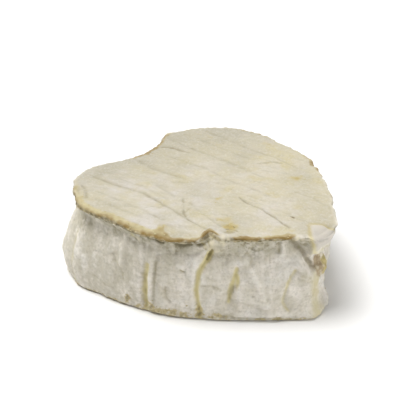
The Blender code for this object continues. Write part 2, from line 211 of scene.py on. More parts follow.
def heartRadius(bearings):
    # a smooth curve through the half outline, for either side
    stops, radii = np.array(heart["halfOutline"], float).T
    radii = radii * mm
    slopes = np.gradient(radii, stops)
    slopes[0] = 0
    turned = np.abs(bearings)
    i = np.clip(np.searchsorted(stops, turned, side="right") - 1, 0, len(stops) - 2)
    gap = stops[i + 1] - stops[i]
    t = (turned - stops[i]) / gap
    ends = radii[i] * (1 + 2 * t) * (1 - t) ** 2 + radii[i + 1] * t * t * (3 - 2 * t)
    return ends + slopes[i] * gap * t * (1 - t) ** 2 + slopes[i + 1] * gap * t * t * (t - 1)


def rimBearings():
    # closest together where the folds are finest
    steps = np.linspace(-180, 180, heart["bearingSteps"])
    density = 1 + heart["fineExtra"] * bell(steps - heart["fineBearing"], heart["fineHalfWidth"])
    share = np.concatenate([[0], np.cumsum(density[1:] + density[:-1])])
    return np.interp(np.arange(heart["rimPoints"]) / heart["rimPoints"], share / share[-1], steps)


def roundSide(bearings, heights):
    # a plain drum, on which bumps round the side are read, so that their ends meet
    angles, radius = np.radians(bearings), heart["drumRadius"]
    return np.column_stack([np.sin(angles) * radius, -np.cos(angles) * radius, heights])


def outward(ring):
    # the way out from a closed ring, eased over about 8 mm where the ring turns sharply
    ahead = np.roll(ring, -1, axis=0) - np.roll(ring, 1, axis=0)
    normal = np.stack([ahead[:, 1], -ahead[:, 0]], axis=1)
    reach = heart["easedPoints"]
    eased = sum(np.roll(normal, shift, axis=0) for shift in range(-reach, reach + 1))
    return eased / np.linalg.norm(eased, axis=1, keepdims=True)


def domeHeight(inset):
    return heart["rimHeight"] + heart["domeRise"] * (1 - np.exp(-inset / heart["domeReach"]))


def lipInsets(bearings):
    edge = roundSide(bearings, np.zeros(len(bearings)))
    inset = bumps(edge, heart["lipWave"]) + bumps(edge, heart["lipRipple"])
    for centre, halfWidth, depth in heart["lipPinches"]:
        away = np.abs((bearings - centre) / halfWidth)
        inset += depth * mm * np.exp(-(away ** heart["archRoundness"]))
    return inset


def wallProfile(bearings):
    # the side's named places from shoulder to base, as (inset from the rim, height)
    names = ("rimSag", "waistDepth", "waistDrop", "belly", "footInset")
    sag, waist, drop, belly, foot = (easedRound(heart[name], bearings) for name in names)
    rim, pinch, bellyHeight = heart["rimHeight"] - sag, lipInsets(bearings), heart["bellyHeight"]
    level = np.zeros(len(bearings))
    top = level + domeHeight(heart["shoulderInset"])
    away = np.abs(bearings - heart["slumpBearing"]) / heart["slumpHalfWidth"]
    slump = (1 - smooth(away, *heart["slumpEdge"])) * mm
    places = (
        (level + heart["shoulderInset"], 0.9 * top + 0.1 * rim),
        (4.0 * mm + 0.5 * pinch + 0.4 * slump, 0.45 * top + 0.55 * rim + 0.1 * mm - 0.5 * slump),
        (1.7 * mm + 0.8 * pinch + 0.9 * slump, rim - 1.5 * slump),
        (0.5 * mm + pinch + 0.8 * slump, rim - 0.45 * mm - 1.9 * slump),
        (0.1 * mm + pinch + 0.6 * slump, rim - 1.25 * mm - 2.2 * slump),
        (0.7 * waist + 0.4 * pinch, rim - 0.25 * drop - 1.1 * mm),
        (waist, rim - drop),
        (0.3 * waist - 0.5 * belly, 0.52 * (rim - drop) + 0.48 * bellyHeight),
        (-belly, level + bellyHeight),
        (0.4 * foot - 0.7 * belly, level + 5.4 * mm),
        (foot - 0.2 * mm, level + 2.2 * mm),
        (foot + 0.2 * mm, level + 0.7 * mm),
        (foot + 1.5 * mm, level),
    )
    return [np.stack(place, axis=1) for place in places]


def curveThrough(knots, places):
    # a smooth curve (Catmull-Rom) through knots[0], knots[1], ... at places such as 1.5
    last = len(knots) - 1
    result = []
    for place in places:
        i = min(int(place), last - 1)
        t = place - i
        p1, p2 = knots[i], knots[i + 1]
        p0 = knots[i - 1] if i else 2 * p1 - p2
        p3 = knots[i + 2] if i + 2 <= last else 2 * p2 - p1
        bend = (2 * p0 - 5 * p1 + 4 * p2 - p3) * t**2 + (3 * p1 - p0 - 3 * p2 + p3) * t**3
        result.append(0.5 * (2 * p1 + (p2 - p0) * t + bend))
    return result


def nearest(x, y, ends):
    # from each point to the nearest of the straight lines between these ends
    best = np.full(len(x), 1.0)
    for (x0, y0), (x1, y1) in zip(ends, ends[1:]):
        dx, dy = x1 - x0, y1 - y0
        share = np.clip(((x - x0) * dx + (y - y0) * dy) / (dx**2 + dy**2), 0, 1)
        best = np.minimum(best, np.hypot(x - x0 - dx * share, y - y0 - dy * share))
    return best


def distanceToRun(bearings, heights, radii, run):
    # along the wall, to a run of (bearing, height)
    ends = [(math.radians(turn) * radii, height * mm) for turn, height in run]
    return nearest(np.radians(bearings) * radii, heights, ends)


def distanceOnTop(x, y, run):
    return nearest(x, y, [(runX * mm, runY * mm) for runX, runY in run])


def sideStand(bearings, heights, radii):
    # how far the rind stands out at each point of the side: its folds, creases and bumps
    stand = bumps(roundSide(bearings, 0.6 * heights), heart["sideSwell"])
    stand += bumps(roundSide(bearings, heights), heart["sideRipple"])
    for depth, halfWidth, *_, run in sideCreases:
        stand -= depth * mm * bell(distanceToRun(bearings, heights, radii, run), halfWidth * mm)
    for rise, halfWidth, run in sideRidges:
        stand += rise * mm * bell(distanceToRun(bearings, heights, radii, run), halfWidth * mm)
    foot = np.clip((heights - heart["footClear"]) / heart["standFade"], 0, 1)
    lip = np.clip((heart["rimHeight"] - heart["lipClear"] - heights) / heart["standFade"], 0, 1)
    return stand * foot * (0.2 + 0.8 * lip)


def overFlap(bearings, heights, radii):
    # from 0 to 1, how far each point of the side lies within the fold over the point
    across = np.abs(np.radians(bearings - heart["flapBearing"])) * radii
    sides = np.clip((heart["flapHalfWidth"] - across) / heart["flapSoftness"] + 0.5, 0, 1)
    ragged = bumps(roundSide(bearings, np.zeros(len(bearings))), heart["flapRagged"])
    below = heights - heart["flapBottom"] - ragged
    return sides * np.clip(below / heart["flapSoftness"] + 0.5, 0, 1)


def grooveDepth(x, y):
    depth = np.zeros(len(x))
    for grooveX, start, end, full in heart["grooves"]:
        sway = heart["grooveSway"] * np.sin(y / heart["grooveSwayLength"] + grooveX)
        across = bell(x - grooveX * mm - sway, heart["grooveHalfWidth"])
        ends = np.clip(np.minimum(y - start * mm, end * mm - y) / heart["grooveFade"], 0, 1)
        depth = np.maximum(depth, full * mm * across * ends)
    return depth


def topRelief(ring):
    flat = ring * np.array([1, 1, 0])
    soft = bumps(flat, heart["topSwell"]) + bumps(flat, heart["topRipple"])
    return soft - grooveDepth(ring[:, 0], ring[:, 1])


def wallRings(bearings):
    # rings down the side, and how far each point lies from the crest of the lip along the rind
    radii = heartRadius(bearings)
    angle = np.radians(bearings)
    rim = np.stack([radii * np.sin(angle), -radii * np.cos(angle)], axis=1)
    normal = outward(rim)
    sag = easedRound(heart["rimSag"], bearings)
    places = [0.0]
    for i, steps in enumerate(heart["wallSteps"]):
        places += [i + (k + 1) / steps for k in range(steps)]
    rings = []
    for knots in curveThrough(wallProfile(bearings), places):
        inset, height = knots[:, 0], np.maximum(knots[:, 1], 0)
        inset = inset - sideStand(bearings, height, radii)
        below = heart["rimHeight"] - heart["flapTop"] - sag - height
        lean = heart["flapInset"] + heart["flapLean"] * np.maximum(below, 0)
        flapInset = np.minimum(inset, lean)
        share = overFlap(bearings, height, radii) * (below > 0)
        inset = inset * (1 - share) + flapInset * share
        rings.append(np.column_stack([rim - normal * inset[:, None], height]))
    rings[-1][:, 2] = 0
    for ring, place in zip(rings, places):
        ring[:, 2] += (1 - smooth(place, *heart["reliefFade"])) * topRelief(ring)
    steps = [np.linalg.norm(b - a, axis=1) for a, b in zip(rings, rings[1:])]
    travel = np.concatenate([[np.zeros(len(bearings))], np.cumsum(steps, axis=0)])
    crest = places.index(heart["crestPlace"])
    return rings, travel - travel[crest]


def thinned(share):
    # how many points a ring takes at this share of the way out, so that faces stay even
    fewer = 1
    while fewer < heart["mostThinned"] and share < heart["thinnedFrom"] / fewer:
        fewer *= 2
    return heart["rimPoints"] // fewer


def innerRing(edge, share):
    return edge[:: len(edge) // thinned(share)] * np.array([share, share, 1])


def heartPoints():
    # every ring from the middle of the top, down the side, to the middle of the base
    bearings = rimBearings()
    wall, down = wallRings(bearings)
    rings, ringDown, ringBearings = [], [], []
    for k in range(1, heart["topRings"]):
        share = k / heart["topRings"]
        ring = innerRing(wall[0], share)
        step = len(bearings) // len(ring)
        reach = np.hypot(ring[:, 0], ring[:, 1]) / share
        ring[:, 2] = domeHeight(heart["shoulderInset"] + reach * (1 - share)) + topRelief(ring)
        rings.append(ring)
        ringDown.append(down[0][::step] - reach * (1 - share))
        ringBearings.append(bearings[::step])
    rings += wall
    ringDown += list(down)
    ringBearings += [bearings] * len(wall)
    for k in range(heart["baseRings"] - 1, 0, -1):
        ring = innerRing(wall[-1], k / heart["baseRings"])
        step = len(bearings) // len(ring)
        rings.append(ring)
        ringDown.append(down[-1][::step])
        ringBearings.append(bearings[::step])
    return rings, np.concatenate(ringDown), np.concatenate(ringBearings)


def ringFaces(sizes):
    # quads between rings, or pentagons where one ring has twice as many points as the next
    starts = np.concatenate([[0], np.cumsum(sizes)])
    faces = []
    for a, b, upper, lower in zip(starts, starts[1:], sizes, sizes[1:]):
        count = min(upper, lower)
        for i in range(count):
            up = [a + (i * upper // count + k) % upper for k in range(upper // count + 1)]
            low = [b + (i * lower // count + k) % lower for k in range(lower // count + 1)]
            faces.append((up[0], *low, *up[:0:-1]))
    return faces


rings, down, bearing = heartPoints()
points = np.concatenate(rings)
faces = ringFaces([len(ring) for ring in rings])
top, base = len(points), len(points) + 1
ends = np.array([rings[0].mean(axis=0), rings[-1].mean(axis=0)])
lastStart = len(points) - len(rings[-1])
count = len(rings[0])
faces += [(top, i, (i + 1) % count) for i in range(count)]
count = len(rings[-1])
faces += [(base, lastStart + (i + 1) % count, lastStart + i) for i in range(count)]
points = np.concatenate([points, ends])
down = np.concatenate([down, [down.min(), down.max()]])
bearing = np.concatenate([bearing, [0, 0]])
middle = np.array(heart["middle"])
print("heart's form:", len(points), "points")


# What has happened to the rind: marks that steer its relief and its colours.
marks = {
    # three scales of chance unevenness: height, size, seed
    "ragged": (1.0, 2.6 * mm, 51),
    "rough": (1.0, 1.5 * mm, 52),
    "patchy": (1.0, 6.0 * mm, 53),
    # where one finish gives way to another, from and to: heights, then distances below the crest
    "clearOfFloor": (0.1 * mm, 1.4 * mm),
    "driedFoot": (0.5 * mm, 2.4 * mm),
    "footCrags": (1.5 * mm, 4.5 * mm),
    "overCrest": (-0.4 * mm, 2.0 * mm),
    # where the painted shade under the rim begins
    "underRimShadeStart": (0.8 * mm, 2.5 * mm),
    "lumpTop": (-2.2 * mm, -0.8 * mm),
    # the crags under the rim: how far below the crest and half width
    "rimCrags": (2.2 * mm, 2.8 * mm),
    # the smooth facet beside the point: its left and right sides in degrees, its top and bottom
    "facet": ((-13, -11), (-7, -5), (2 * mm, 4 * mm), (10 * mm, 13 * mm)),
    # the tan edge of the rim: bearing, strength, how far below the crest, half width, brownness
    "rimEdge": (
        (-165, 0.4, 0.9, 1, 0.5), (-146, 0.3, 0.8, 1, 0.2), (-128, 0.6, 0.6, 1.8, 0),
        (-117, 0.9, 0.1, 1.4, 0), (-106, 1, -0.1, 1.3, 0.1), (-96, 1, -0.1, 1.3, 0.15),
        (-86, 1, 0, 1.4, 0.2), (-78, 1.1, 0, 1.6, 0.15), (-73, 1.1, 0.2, 2.3, 0.55),
        (-70.3, 1.1, 0.7, 1.5, 0.9), (-67, 1.2, 1.3, 0.95, 1), (-60, 1.1, 1.2, 0.9, 0.85),
        (-57, 0.8, 1.1, 0.8, 0.45), (-54.5, 0.55, 0.9, 0.8, 0.3), (-52, 1.1, 0.5, 1, 0.85),
        (-49.5, 1, 0.2, 0.9, 0.8), (-46.5, 0.9, 0.4, 0.8, 0.6), (-43.5, 0.25, 0.6, 0.8, 0.2),
        (-40, 0.35, 0.5, 0.8, 0.4), (-37, 1.1, 0.9, 0.9, 1), (-33, 1.2, 0.7, 1.1, 1),
        (-30.5, 1, 1, 0.8, 0.6), (-27, 0.8, 0.9, 0.7, 0.5), (-23, 1, 0.4, 1, 0.2),
        (-18.7, 1, 0.3, 1.1, 0.35), (-16, 1.2, 0.4, 1.5, 0.9), (-13.8, 0.8, 0.9, 0.9, 0.5),
        (-12, 0.2, 0.6, 0.7, 0.1), (-10, 0.3, -0.3, 0.7, 0.2), (-8, 0.3, -1.2, 0.7, 0.2),
        (-5, 0, 0.8, 0.8, 0.3), (4, 0, 0.8, 0.8, 0.3), (9, 0.3, 0.9, 0.8, 0.5),
        (25, 0.4, 1.1, 0.9, 0.6), (46, 0.4, 1, 0.9, 0.4), (68, 0.7, 0.9, 1.1, 0.7),
        (90, 0.5, 0.7, 1, 0.35), (112, 0.7, 1, 1, 0.7), (135, 0.4, 0.9, 0.9, 0.3),
        (158, 0.7, 0.8, 1.2, 0.7), (178, 1, 0.6, 1.5, 0.9),
    ),
    # the broken crevice under the lip, carved and painted dark as shade: bearing, depth, how far below
    # the crest
    "creviceDepth": 1.1 * mm,
    "creviceHalfWidth": 0.6 * mm,
    "creaseHalfWidth": 0.62 * mm,
    "crevice": (
        (-140, 0.3, 2), (-118, 0.9, 1.6), (-105, 1.1, 1.5), (-91, 1.1, 1.7), (-84, 1, 3.2),
        (-74, 1, 4.4), (-64, 0.95, 5), (-56, 0.85, 4.4), (-50, 0.2, 4), (-46, 0.3, 2),
        (-42, 0.8, 1.6), (-36, 0.75, 1.9), (-26, 0.65, 2), (-14, 0.6, 2.3), (-6, 0, 3),
        (12, 0.4, 2.6), (40, 0.7, 2.2), (66, 0.3, 4), (95, 0.7, 2.4), (125, 0.3, 3.4),
        (150, 0.7, 2.4), (175, 0.4, 2.6),
    ),
    # dark crumbs caught under the lip: bearing, how far below the crest, half width, strength
    "lipSpots": (
        (-114.8, 5.4, 1.3, 0.9), (-112.6, 4.2, 1.6, 1), (-110.4, 3.2, 1.6, 1),
        (-108, 2.6, 1.2, 0.9), (-105, 2.2, 0.9, 0.6), (-102.1, 3.2, 1.1, 0.7), (-99.8, 3, 0.9, 0.6),
        (-96.8, 2, 0.9, 0.7), (-91.5, 2.2, 1.2, 0.9), (-88.8, 2.1, 1, 0.8), (-85.6, 2.1, 1.3, 0.9),
        (-82.6, 1.8, 0.7, 0.7), (-77.8, 2.2, 1, 0.8), (30, 2.4, 1.2, 0.7), (51, 2, 0.9, 0.6),
        (86, 2.4, 1.4, 0.8), (92, 1.9, 0.8, 0.6), (129, 2.4, 1, 0.6), (163, 2.2, 1.3, 0.7),
        (-152, 2.6, 1.2, 0.6),
    ),
    # painted shade below the rim, with grey and olive mottling in it: bearing, strength, reach down
    # the side
    "gloom": (
        (-150, 0.6, 8), (-134, 0.5, 12), (-122, 0.6, 26), (-114, 0.6, 24), (-108, 0.7, 10),
        (-96, 0.75, 12), (-78, 1, 13), (-62, 1.1, 13), (-52, 0.8, 10), (-42, 0.8, 14), (-32, 1, 15),
        (-20, 0.95, 13), (-14, 0.65, 13), (-9.5, 1.05, 16), (-6, 0.4, 12), (10, 0.7, 13),
        (40, 0.9, 11), (80, 0.8, 12), (120, 0.9, 10), (160, 0.8, 11),
    ),
    # how grey and yellow the side is: painted shade on the far left, from about -145 to -84, and the
    # side's own greyer tone elsewhere: bearing, strength
    "dull": (
        (-160, 0.3), (-145, 0.9), (-122, 1.3), (-98, 1.3), (-84, 0.9), (-66, 0.25), (-53, 0),
        (-46, 0.5), (-36, 0.35), (-22, 0), (8, 0), (30, 0.5), (55, 0.1), (80, 0.5), (105, 0.1),
        (140, 0.6), (170, 0.2),
    ),
    # fine lines on the top: depth (a ridge has less than 0), half width, darkness (partly painted
    # shade in the groove, partly its own darker colour), run of (x, y)
    "topLines": (
        (0.35, 0.8, 0.65, ((-38.6, 36.4), (-37.6, 35), (-38, 33), (-39.4, 30.6), (-41, 28.4),
                           (-43.2, 25.6))),
        (0.3, 0.6, 0.5, ((-41, 34.8), (-41.3, 32.9), (-42.7, 31.2))),
        (0.3, 0.8, 0.7, ((-28.7, 38.2), (-28.9, 28.4), (-27.3, 19.9), (-26.5, 11.9), (-27.5, 3.2),
                         (-28.5, -4.1), (-29.1, -11.4), (-29.8, -22), (-30.4, -26))),
        (0.4, 1.2, 0.5, ((-7.2, 34.6), (-7.6, 29.1), (-7.7, 25.8), (-7.4, 21.4), (-6.9, 15.2),
                         (-6.7, 9.3))),
        (0.3, 1, 0.4, ((-18, 13.6), (-18.7, 8.9), (-19.2, 6.2), (-20.3, 2.1))),
        (0.2, 0.8, 0.5, ((-11.9, 11.3), (-9.3, 7.8))),
        (0.15, 0.8, 0.4, ((-1.6, -36.4), (-0.5, -38.2))),
        (0.35, 0.7, 0.8, ((-3.2, -16.3), (-5.2, -21), (-5.2, -28.8), (-6.8, -36.8), (-8.5, -44))),
        (0.3, 0.8, 0.5, ((-19.2, -5.4), (-21.5, -12), (-22.9, -16.5), (-25.1, -26.5))),
        (0.25, 0.8, 0.4, ((13.9, -30), (14.6, -37.6), (13.6, -44))),
        (0.4, 0.7, 0.9, ((-19.3, -1.9), (-20.6, -3.3))),
        (0.2, 0.5, 0.4, ((-20.9, -3.6), (-25.4, -8.3))),
        (0.4, 0.7, 0.8, ((-25.6, -8.6), (-27.4, -10.2), (-28.4, -12.3))),
        (0.25, 0.6, 0.6, ((-26.3, -9.7), (-23.2, -9), (-21.3, -8.5))),
        (0.5, 0.6, 1.3, ((-25.2, -29.2), (-24.2, -30.8), (-23.4, -32.6))),
        (0.5, 0.6, 1.2, ((-27.2, -30), (-26.2, -31.4), (-24.8, -32.4))),
        (0.35, 0.7, 0.9, ((9.2, 38.2), (10.6, 36.2), (11.6, 32.3), (12.2, 25.2))),
        (0.2, 0.9, 0.35, ((-41.6, 22), (-40.9, 10), (-40.2, -1))),
        (0.2, 0.9, 0.35, ((-36.9, 26), (-36.2, 12), (-36.4, -8))),
        (0.2, 0.8, 0.3, ((-23.6, 30), (-22.4, 14), (-23.8, 2))),
        (0.25, 0.9, 0.4, ((18.2, 44), (16.4, 26), (17.3, 8), (16, -12))),
        (0.25, 0.9, 0.45, ((34.5, 36), (33.1, 18), (34, -2), (32.8, -14))),
        (0.2, 0.9, 0.3, ((4.5, 30), (5.6, 12), (4.4, -8), (5.2, -24))),
        (0.2, 0.9, 0.3, ((25.2, 42), (24.6, 22), (25.7, 4))),
        (0.25, 0.6, 0.8, ((24, -2), (29.5, -5.5), (31, -9))),
        (0.4, 0.5, 1.2, ((-1.8, -39.7), (-1.6, -41.1))),
        (-0.6, 0.9, 0, ((-40.2, 36), (-39.2, 34.2), (-40.2, 31.8), (-41.8, 29.6), (-43.8, 27.2))),
        (-0.45, 0.8, 0, ((11.3, 39.4), (12.9, 34), (17, 28), (19.5, 22))),
        (-0.3, 0.8, 0, ((-27.2, 36), (-27.2, 27), (-25.6, 18), (-25, 11), (-26.1, 2))),
        (-0.25, 0.8, 0, ((-1.6, -17), (-3.6, -24), (-3.7, -31), (-5.2, -38))),
        (-0.25, 0.9, 0, ((-17.6, -7), (-20.8, -16), (-23, -26))),
    ),
    # cracks, scratches and small ridges on the side: depth (a ridge has less than 0), half width,
    # darkness (partly painted shade in the line, partly its own darker colour), run
    "sideLines": (
        (0.9, 0.6, 1.1, ((-48.3, 29.4), (-49.3, 27.3), (-50.7, 25.2))),
        (0.3, 0.5, 0.6, ((-51.6, 24.6), (-53.4, 22.2))),
        (0.25, 0.4, 0.4, ((-53.7, 15.4), (-50, 15.8), (-44.6, 14.2))),
        (0.2, 0.5, 0.2, ((-51.5, 19.4), (-49.5, 18), (-47.2, 17.8))),
        (0.2, 0.7, 0.15, ((-60.4, 19.3), (-59.9, 16.5), (-59.3, 14.6), (-57.7, 13.1))),
        (0.4, 0.6, 0.5, ((-70.2, 13.2), (-69.9, 8.8), (-68.3, 7.2))),
        (0.35, 0.9, 0.65, ((-80.2, 17), (-80.6, 10), (-80.8, 2))),
        (-0.6, 0.9, 0, ((-64.3, 22.6), (-62.4, 21.8))),
        (-0.35, 1.2, 0, ((-90.5, 30), (-91.6, 24), (-92.4, 18.4))),
        (0.5, 0.6, 0.7, ((-63, 20.9), (-61.6, 20.3))),
        (-0.45, 0.9, 0, ((-52.6, 20.5), (-53.6, 16), (-53.7, 11), (-52.9, 6))),
        (-0.45, 0.9, 0, ((-56.4, 26), (-57, 20), (-57.8, 13), (-57, 6))),
        (-0.35, 0.9, 0, ((-76.6, 24), (-77.2, 16), (-78, 6))),
        (0.6, 0.5, 0.9, ((-53, 32.6), (-51.6, 31.6), (-51.2, 30))),
        (0.4, 0.4, 0.7, ((-50.2, 33), (-49.6, 31.4))),
        (0.25, 0.5, 0.45, ((-74.9, 22.5), (-75.6, 15), (-76, 8))),
        (-0.45, 0.7, 0, ((-37.6, 2.6), (-33, 3.2), (-27, 2.4), (-20, 3), (-14, 2.6))),
        (0.5, 0.8, 0.7, ((-44, 1.8), (-40, 2.6), (-37.6, 1.6))),
        (0.35, 0.6, 0.5, ((-36, 1.4), (-28, 1.2), (-18, 1.6))),
        (-0.45, 0.8, 0, ((-35.8, 29), (-33.3, 25.3), (-30.2, 20.8), (-26.7, 14.6), (-24.9, 9.6))),
        (0.3, 0.6, 0.5, ((-37.2, 19), (-36.4, 16.4), (-37.4, 14.4))),
        (0.45, 0.6, 0.6, ((-38.6, 14.6), (-39.8, 12), (-40.2, 9.6))),
        (0.45, 0.5, 0.5, ((-14.2, 31), (-12.2, 29), (-10.2, 27.1), (-8.7, 25.3), (-7.3, 22.7),
                          (-5, 20.4))),
        (0.25, 0.5, 0.3, ((-96, 18.5), (-92.8, 16), (-92, 12))),
        (0.25, 0.5, 0.3, ((-108, 9), (-103, 7), (-97.5, 6.4))),
        (0.2, 0.6, 0.2, ((-34.8, 8.6), (-30.8, 7.2), (-26.5, 6), (-22.7, 5))),
        (-0.4, 1, 0, ((-34.6, 10.4), (-29.6, 8.8), (-24, 7.2))),
        (0.4, 0.6, 0.6, ((-19.3, 31), (-18.8, 29.4), (-19.2, 27.7))),
        (-0.5, 0.8, 0, ((-17.8, 30.6), (-17.5, 27.6))),
        (0.3, 0.9, 0.4, ((-31.2, 27.4), (-30.3, 25.6), (-30.8, 23.8))),
        (0.3, 0.8, 0.35, ((-35.4, 27.8), (-34.4, 26))),
        (0.3, 0.6, 0.5, ((-10.4, 17.9), (-8.5, 17.4), (-6.6, 16.1))),
        (0.25, 0.6, 0.4, ((-9.9, 16.2), (-7.6, 15.2), (-5.4, 14.2))),
        (0.3, 0.5, 0.5, ((24, 20), (30, 18.6), (35, 19.4))),
        (-0.35, 0.8, 0, ((62, 26), (64.5, 16), (63, 6))),
        (0.3, 0.5, 0.5, ((101, 15), (106, 13.6), (111, 14.8))),
        (-0.35, 0.8, 0, ((149, 24), (151.5, 14), (150, 6))),
        (-0.45, 1, 0, ((22, 29), (27, 22), (30.5, 14))),
        (0.35, 0.7, 0.4, ((47, 14), (50.5, 9), (52, 4))),
        (-0.5, 1.2, 0, ((66, 29), (70, 20), (71, 12))),
        (0.4, 0.6, 0.5, ((84, 24), (90, 21), (95, 22.5))),
        (-0.45, 1, 0, ((105, 27), (108, 18), (112, 9))),
        (0.3, 0.6, 0.4, ((124, 12), (130, 10), (136, 11.5))),
        (-0.45, 1.1, 0, ((163, 26), (160, 16), (162, 7))),
        (0.4, 0.7, 0.5, ((-166, 18), (-160, 15), (-155, 16))),
        (-0.4, 1, 0, ((-133, 25), (-130, 15), (-131.5, 8))),
    ),
    # stains: bearing, height, half width in degrees, half height, strength
    "footStains": (
        (-54.4, 2.6, 2, 3.4, 1.35), (-46.5, 2.2, 4.4, 1.9, 1), (-77.5, 3, 4.6, 3, 1),
        (-18.8, 0.8, 4, 1.2, 0.8), (-90, 3.8, 1.9, 2.1, 1.3), (-68, 2.4, 7, 2.2, 0.8),
        (-104, 1.2, 5, 1.2, 0.5), (-95, 1, 5, 1.2, 0.6), (-84, 1.4, 4, 1.4, 0.8),
        (-72, 2.4, 5, 1.8, 0.9), (-61, 1.8, 4, 1.6, 1), (12, 1.6, 3, 1.4, 0.7),
        (38, 2.2, 4, 2, 0.9), (62, 1.6, 4, 1.4, 0.5), (88, 2, 5, 1.6, 0.8),
        (118, 2.4, 3.6, 2.2, 0.9), (146, 1.8, 4, 1.4, 0.7), (-160, 1.8, 5, 1.6, 0.6),
        (-135, 1.6, 4, 1.2, 0.6),
    ),
    # blots of olive beside the creases: bearing, height, half width, half height, strength
    "blots": (
        (-36.9, 17.6, 1.5, 3.6, 0.95), (-4.8, 25.4, 1.8, 2.4, 1), (-1, 26.8, 5.5, 1.6, 0.8),
        (-86, 31.5, 2, 1.6, 0.7), (-49.8, 27.4, 1.3, 2.6, 0.9), (-53.8, 3.2, 1.6, 3, 1),
        (-80.3, 8, 2.1, 7.5, 0.8), (-116.5, 32.5, 2.6, 1.8, 0.9), (39, 19, 1.3, 6, 1),
        (38.6, 4, 1.6, 4, 0.8), (77, 9, 1.2, 6, 0.7), (118.4, 16, 1.3, 5, 0.9),
        (57.8, 7, 1, 3, 0.5), (-98.5, 31.8, 2.4, 1.2, 0.4),
    ),
    # the band across the back of the top that turns greyer, where the bloom is thin and a painted
    # shadow lies, and its ochre stains: x, y, half width, half depth, strength
    "thinBloomAndShadowBand": (4 * mm, 44 * mm),
    "topStains": (
        (-23, -28.4, 2.9, 3.1, 1.25), (-20.6, -24.5, 4.2, 4.4, 0.62), (-25.2, -30.6, 2.2, 1.8, 0.8),
        (-10, -11.5, 2.6, 1.3, 0.5), (-40.2, -11.2, 2.4, 2.2, 0.9), (-9.5, -46.5, 2.2, 1.4, 0.5),
        (-31, 9, 4.4, 3.6, 0.36), (-44, 26, 2.6, 3.4, 0.35), (-19.5, -12, 5, 3, 0.2),
        (30, 30, 4.5, 3.5, 0.4), (24, -22, 3.6, 3, 0.6), (41, 8, 2.4, 3.6, 0.5),
        (8, 20, 5, 4, 0.25),
    ),
    # the bare, brown hollow below the fold at the point, and the yellow band under it
    "bareRun": ((1.0, 21.6), (0.3, 18.0), (4.6, 16.8), (9.5, 18.0)),
    "bareHalfWidth": 3.5 * mm,
    "bareEdge": (0.76, 1.08),  # as shares of the half width
    "bareRight": (4, 10),  # bearings from which it narrows
    "bareWarm": (1.5, 6),  # bearings from which it is yellower
    "bareTop": (18 * mm, 24 * mm),  # where its crumbs begin, and where they are thickest
    "bandRun": ((-2.4, 15.5), (-2.2, 10.0), (-3.4, 5.0), (-3.8, 1.5)),
    "bandHalfWidth": 3.2 * mm,
    # the smooth white patch over the point: its left edge as (distance below the crest, bearing)
    # and its upper and right edge as (bearing, distance below the crest), negative on the top
    "patchRise": 0.3 * mm,
    "patchSides": (-0.4 * mm, 1.2 * mm),
    "patchRight": (4.5, 7.5),
    "patchBottom": (27.4 * mm, 29.4 * mm),
    "patchLineBottom": 24 * mm,
    "patchLineHalfWidth": 0.75 * mm,
    "patchLeft": (
        (-5, -6), (-1.8, -7.5), (0.8, -8.2), (3.4, -7.8), (4.8, -6.9), (7.2, -6.1), (10, -5.3),
    ),
    "patchTop": ((-6.0, -5.0), (-3.4, -5.7), (-0.2, -4.6), (2.7, -3.1), (4.0, -1.2), (5.2, 2.0)),
    # lumps of white mould on the rim and the side: bearing, height, half width in mm, rise
    "lumps": (
        (-48.2, 31.4, 2.8, 0.9), (-51.4, 31.2, 0.9, 0.5), (-43.6, 33.2, 1.3, 0.4),
        (-46.4, 29.8, 1.6, 0.4), (-43.4, 35, 1.2, 0.35), (-41, 34.9, 1, 0.3),
        (-12.8, 33.4, 1.2, 0.4), (-10.6, 32.4, 1, 0.3), (1.6, 22.8, 1.1, 0.6),
        (5.6, 21.6, 0.9, 0.5), (-1.4, 24.2, 0.9, 0.4), (-1.3, 18.4, 1.1, 0.5), (1.6, 14.9, 1, 0.4),
        (-3, 26.6, 0.8, 0.4), (0.6, 25.8, 0.9, 0.5), (3.4, 26.8, 0.8, 0.4), (-131, 33.4, 1.8, 0.5),
        (-84, 30.4, 1.2, 0.4), (-111, 31.6, 1.3, 0.3), (20, 33.6, 1.6, 0.5), (71, 33.8, 1.8, 0.6),
        (104, 33.8, 1.5, 0.5), (154, 34.2, 2, 0.5),
    ),
}


def easedColumns(name):
    # each column after the bearing in this table of marks, eased between its rows at every point
    columns = list(zip(*marks[name]))
    return [easedRound(list(zip(columns[0], column)), bearing) / mm for column in columns[1:]]


def blobs(rows, x, y, roundness=1):
    # the strongest of these soft round marks at each point: x, y, half width, half height, strength
    best = np.zeros(len(x))
    for blobX, blobY, halfWidth, halfHeight, strength in rows:
        away = ((x - blobX) / halfWidth) ** 2 + ((y - blobY) / halfHeight) ** 2
        best = np.maximum(best, strength * np.exp(-(away**roundness)))
    return best


height, radii = points[:, 2], heartRadius(bearing)
ragged, rough, patchy = (bumps(points, marks[name]) for name in ("ragged", "rough", "patchy"))
free = smooth(height, *marks["clearOfFloor"])
side = smooth(down, *marks["overCrest"])
onTop = 1 - side
nothing = np.zeros(len(points))


def toRun(run):
    return distanceToRun(bearing, height, radii, run)


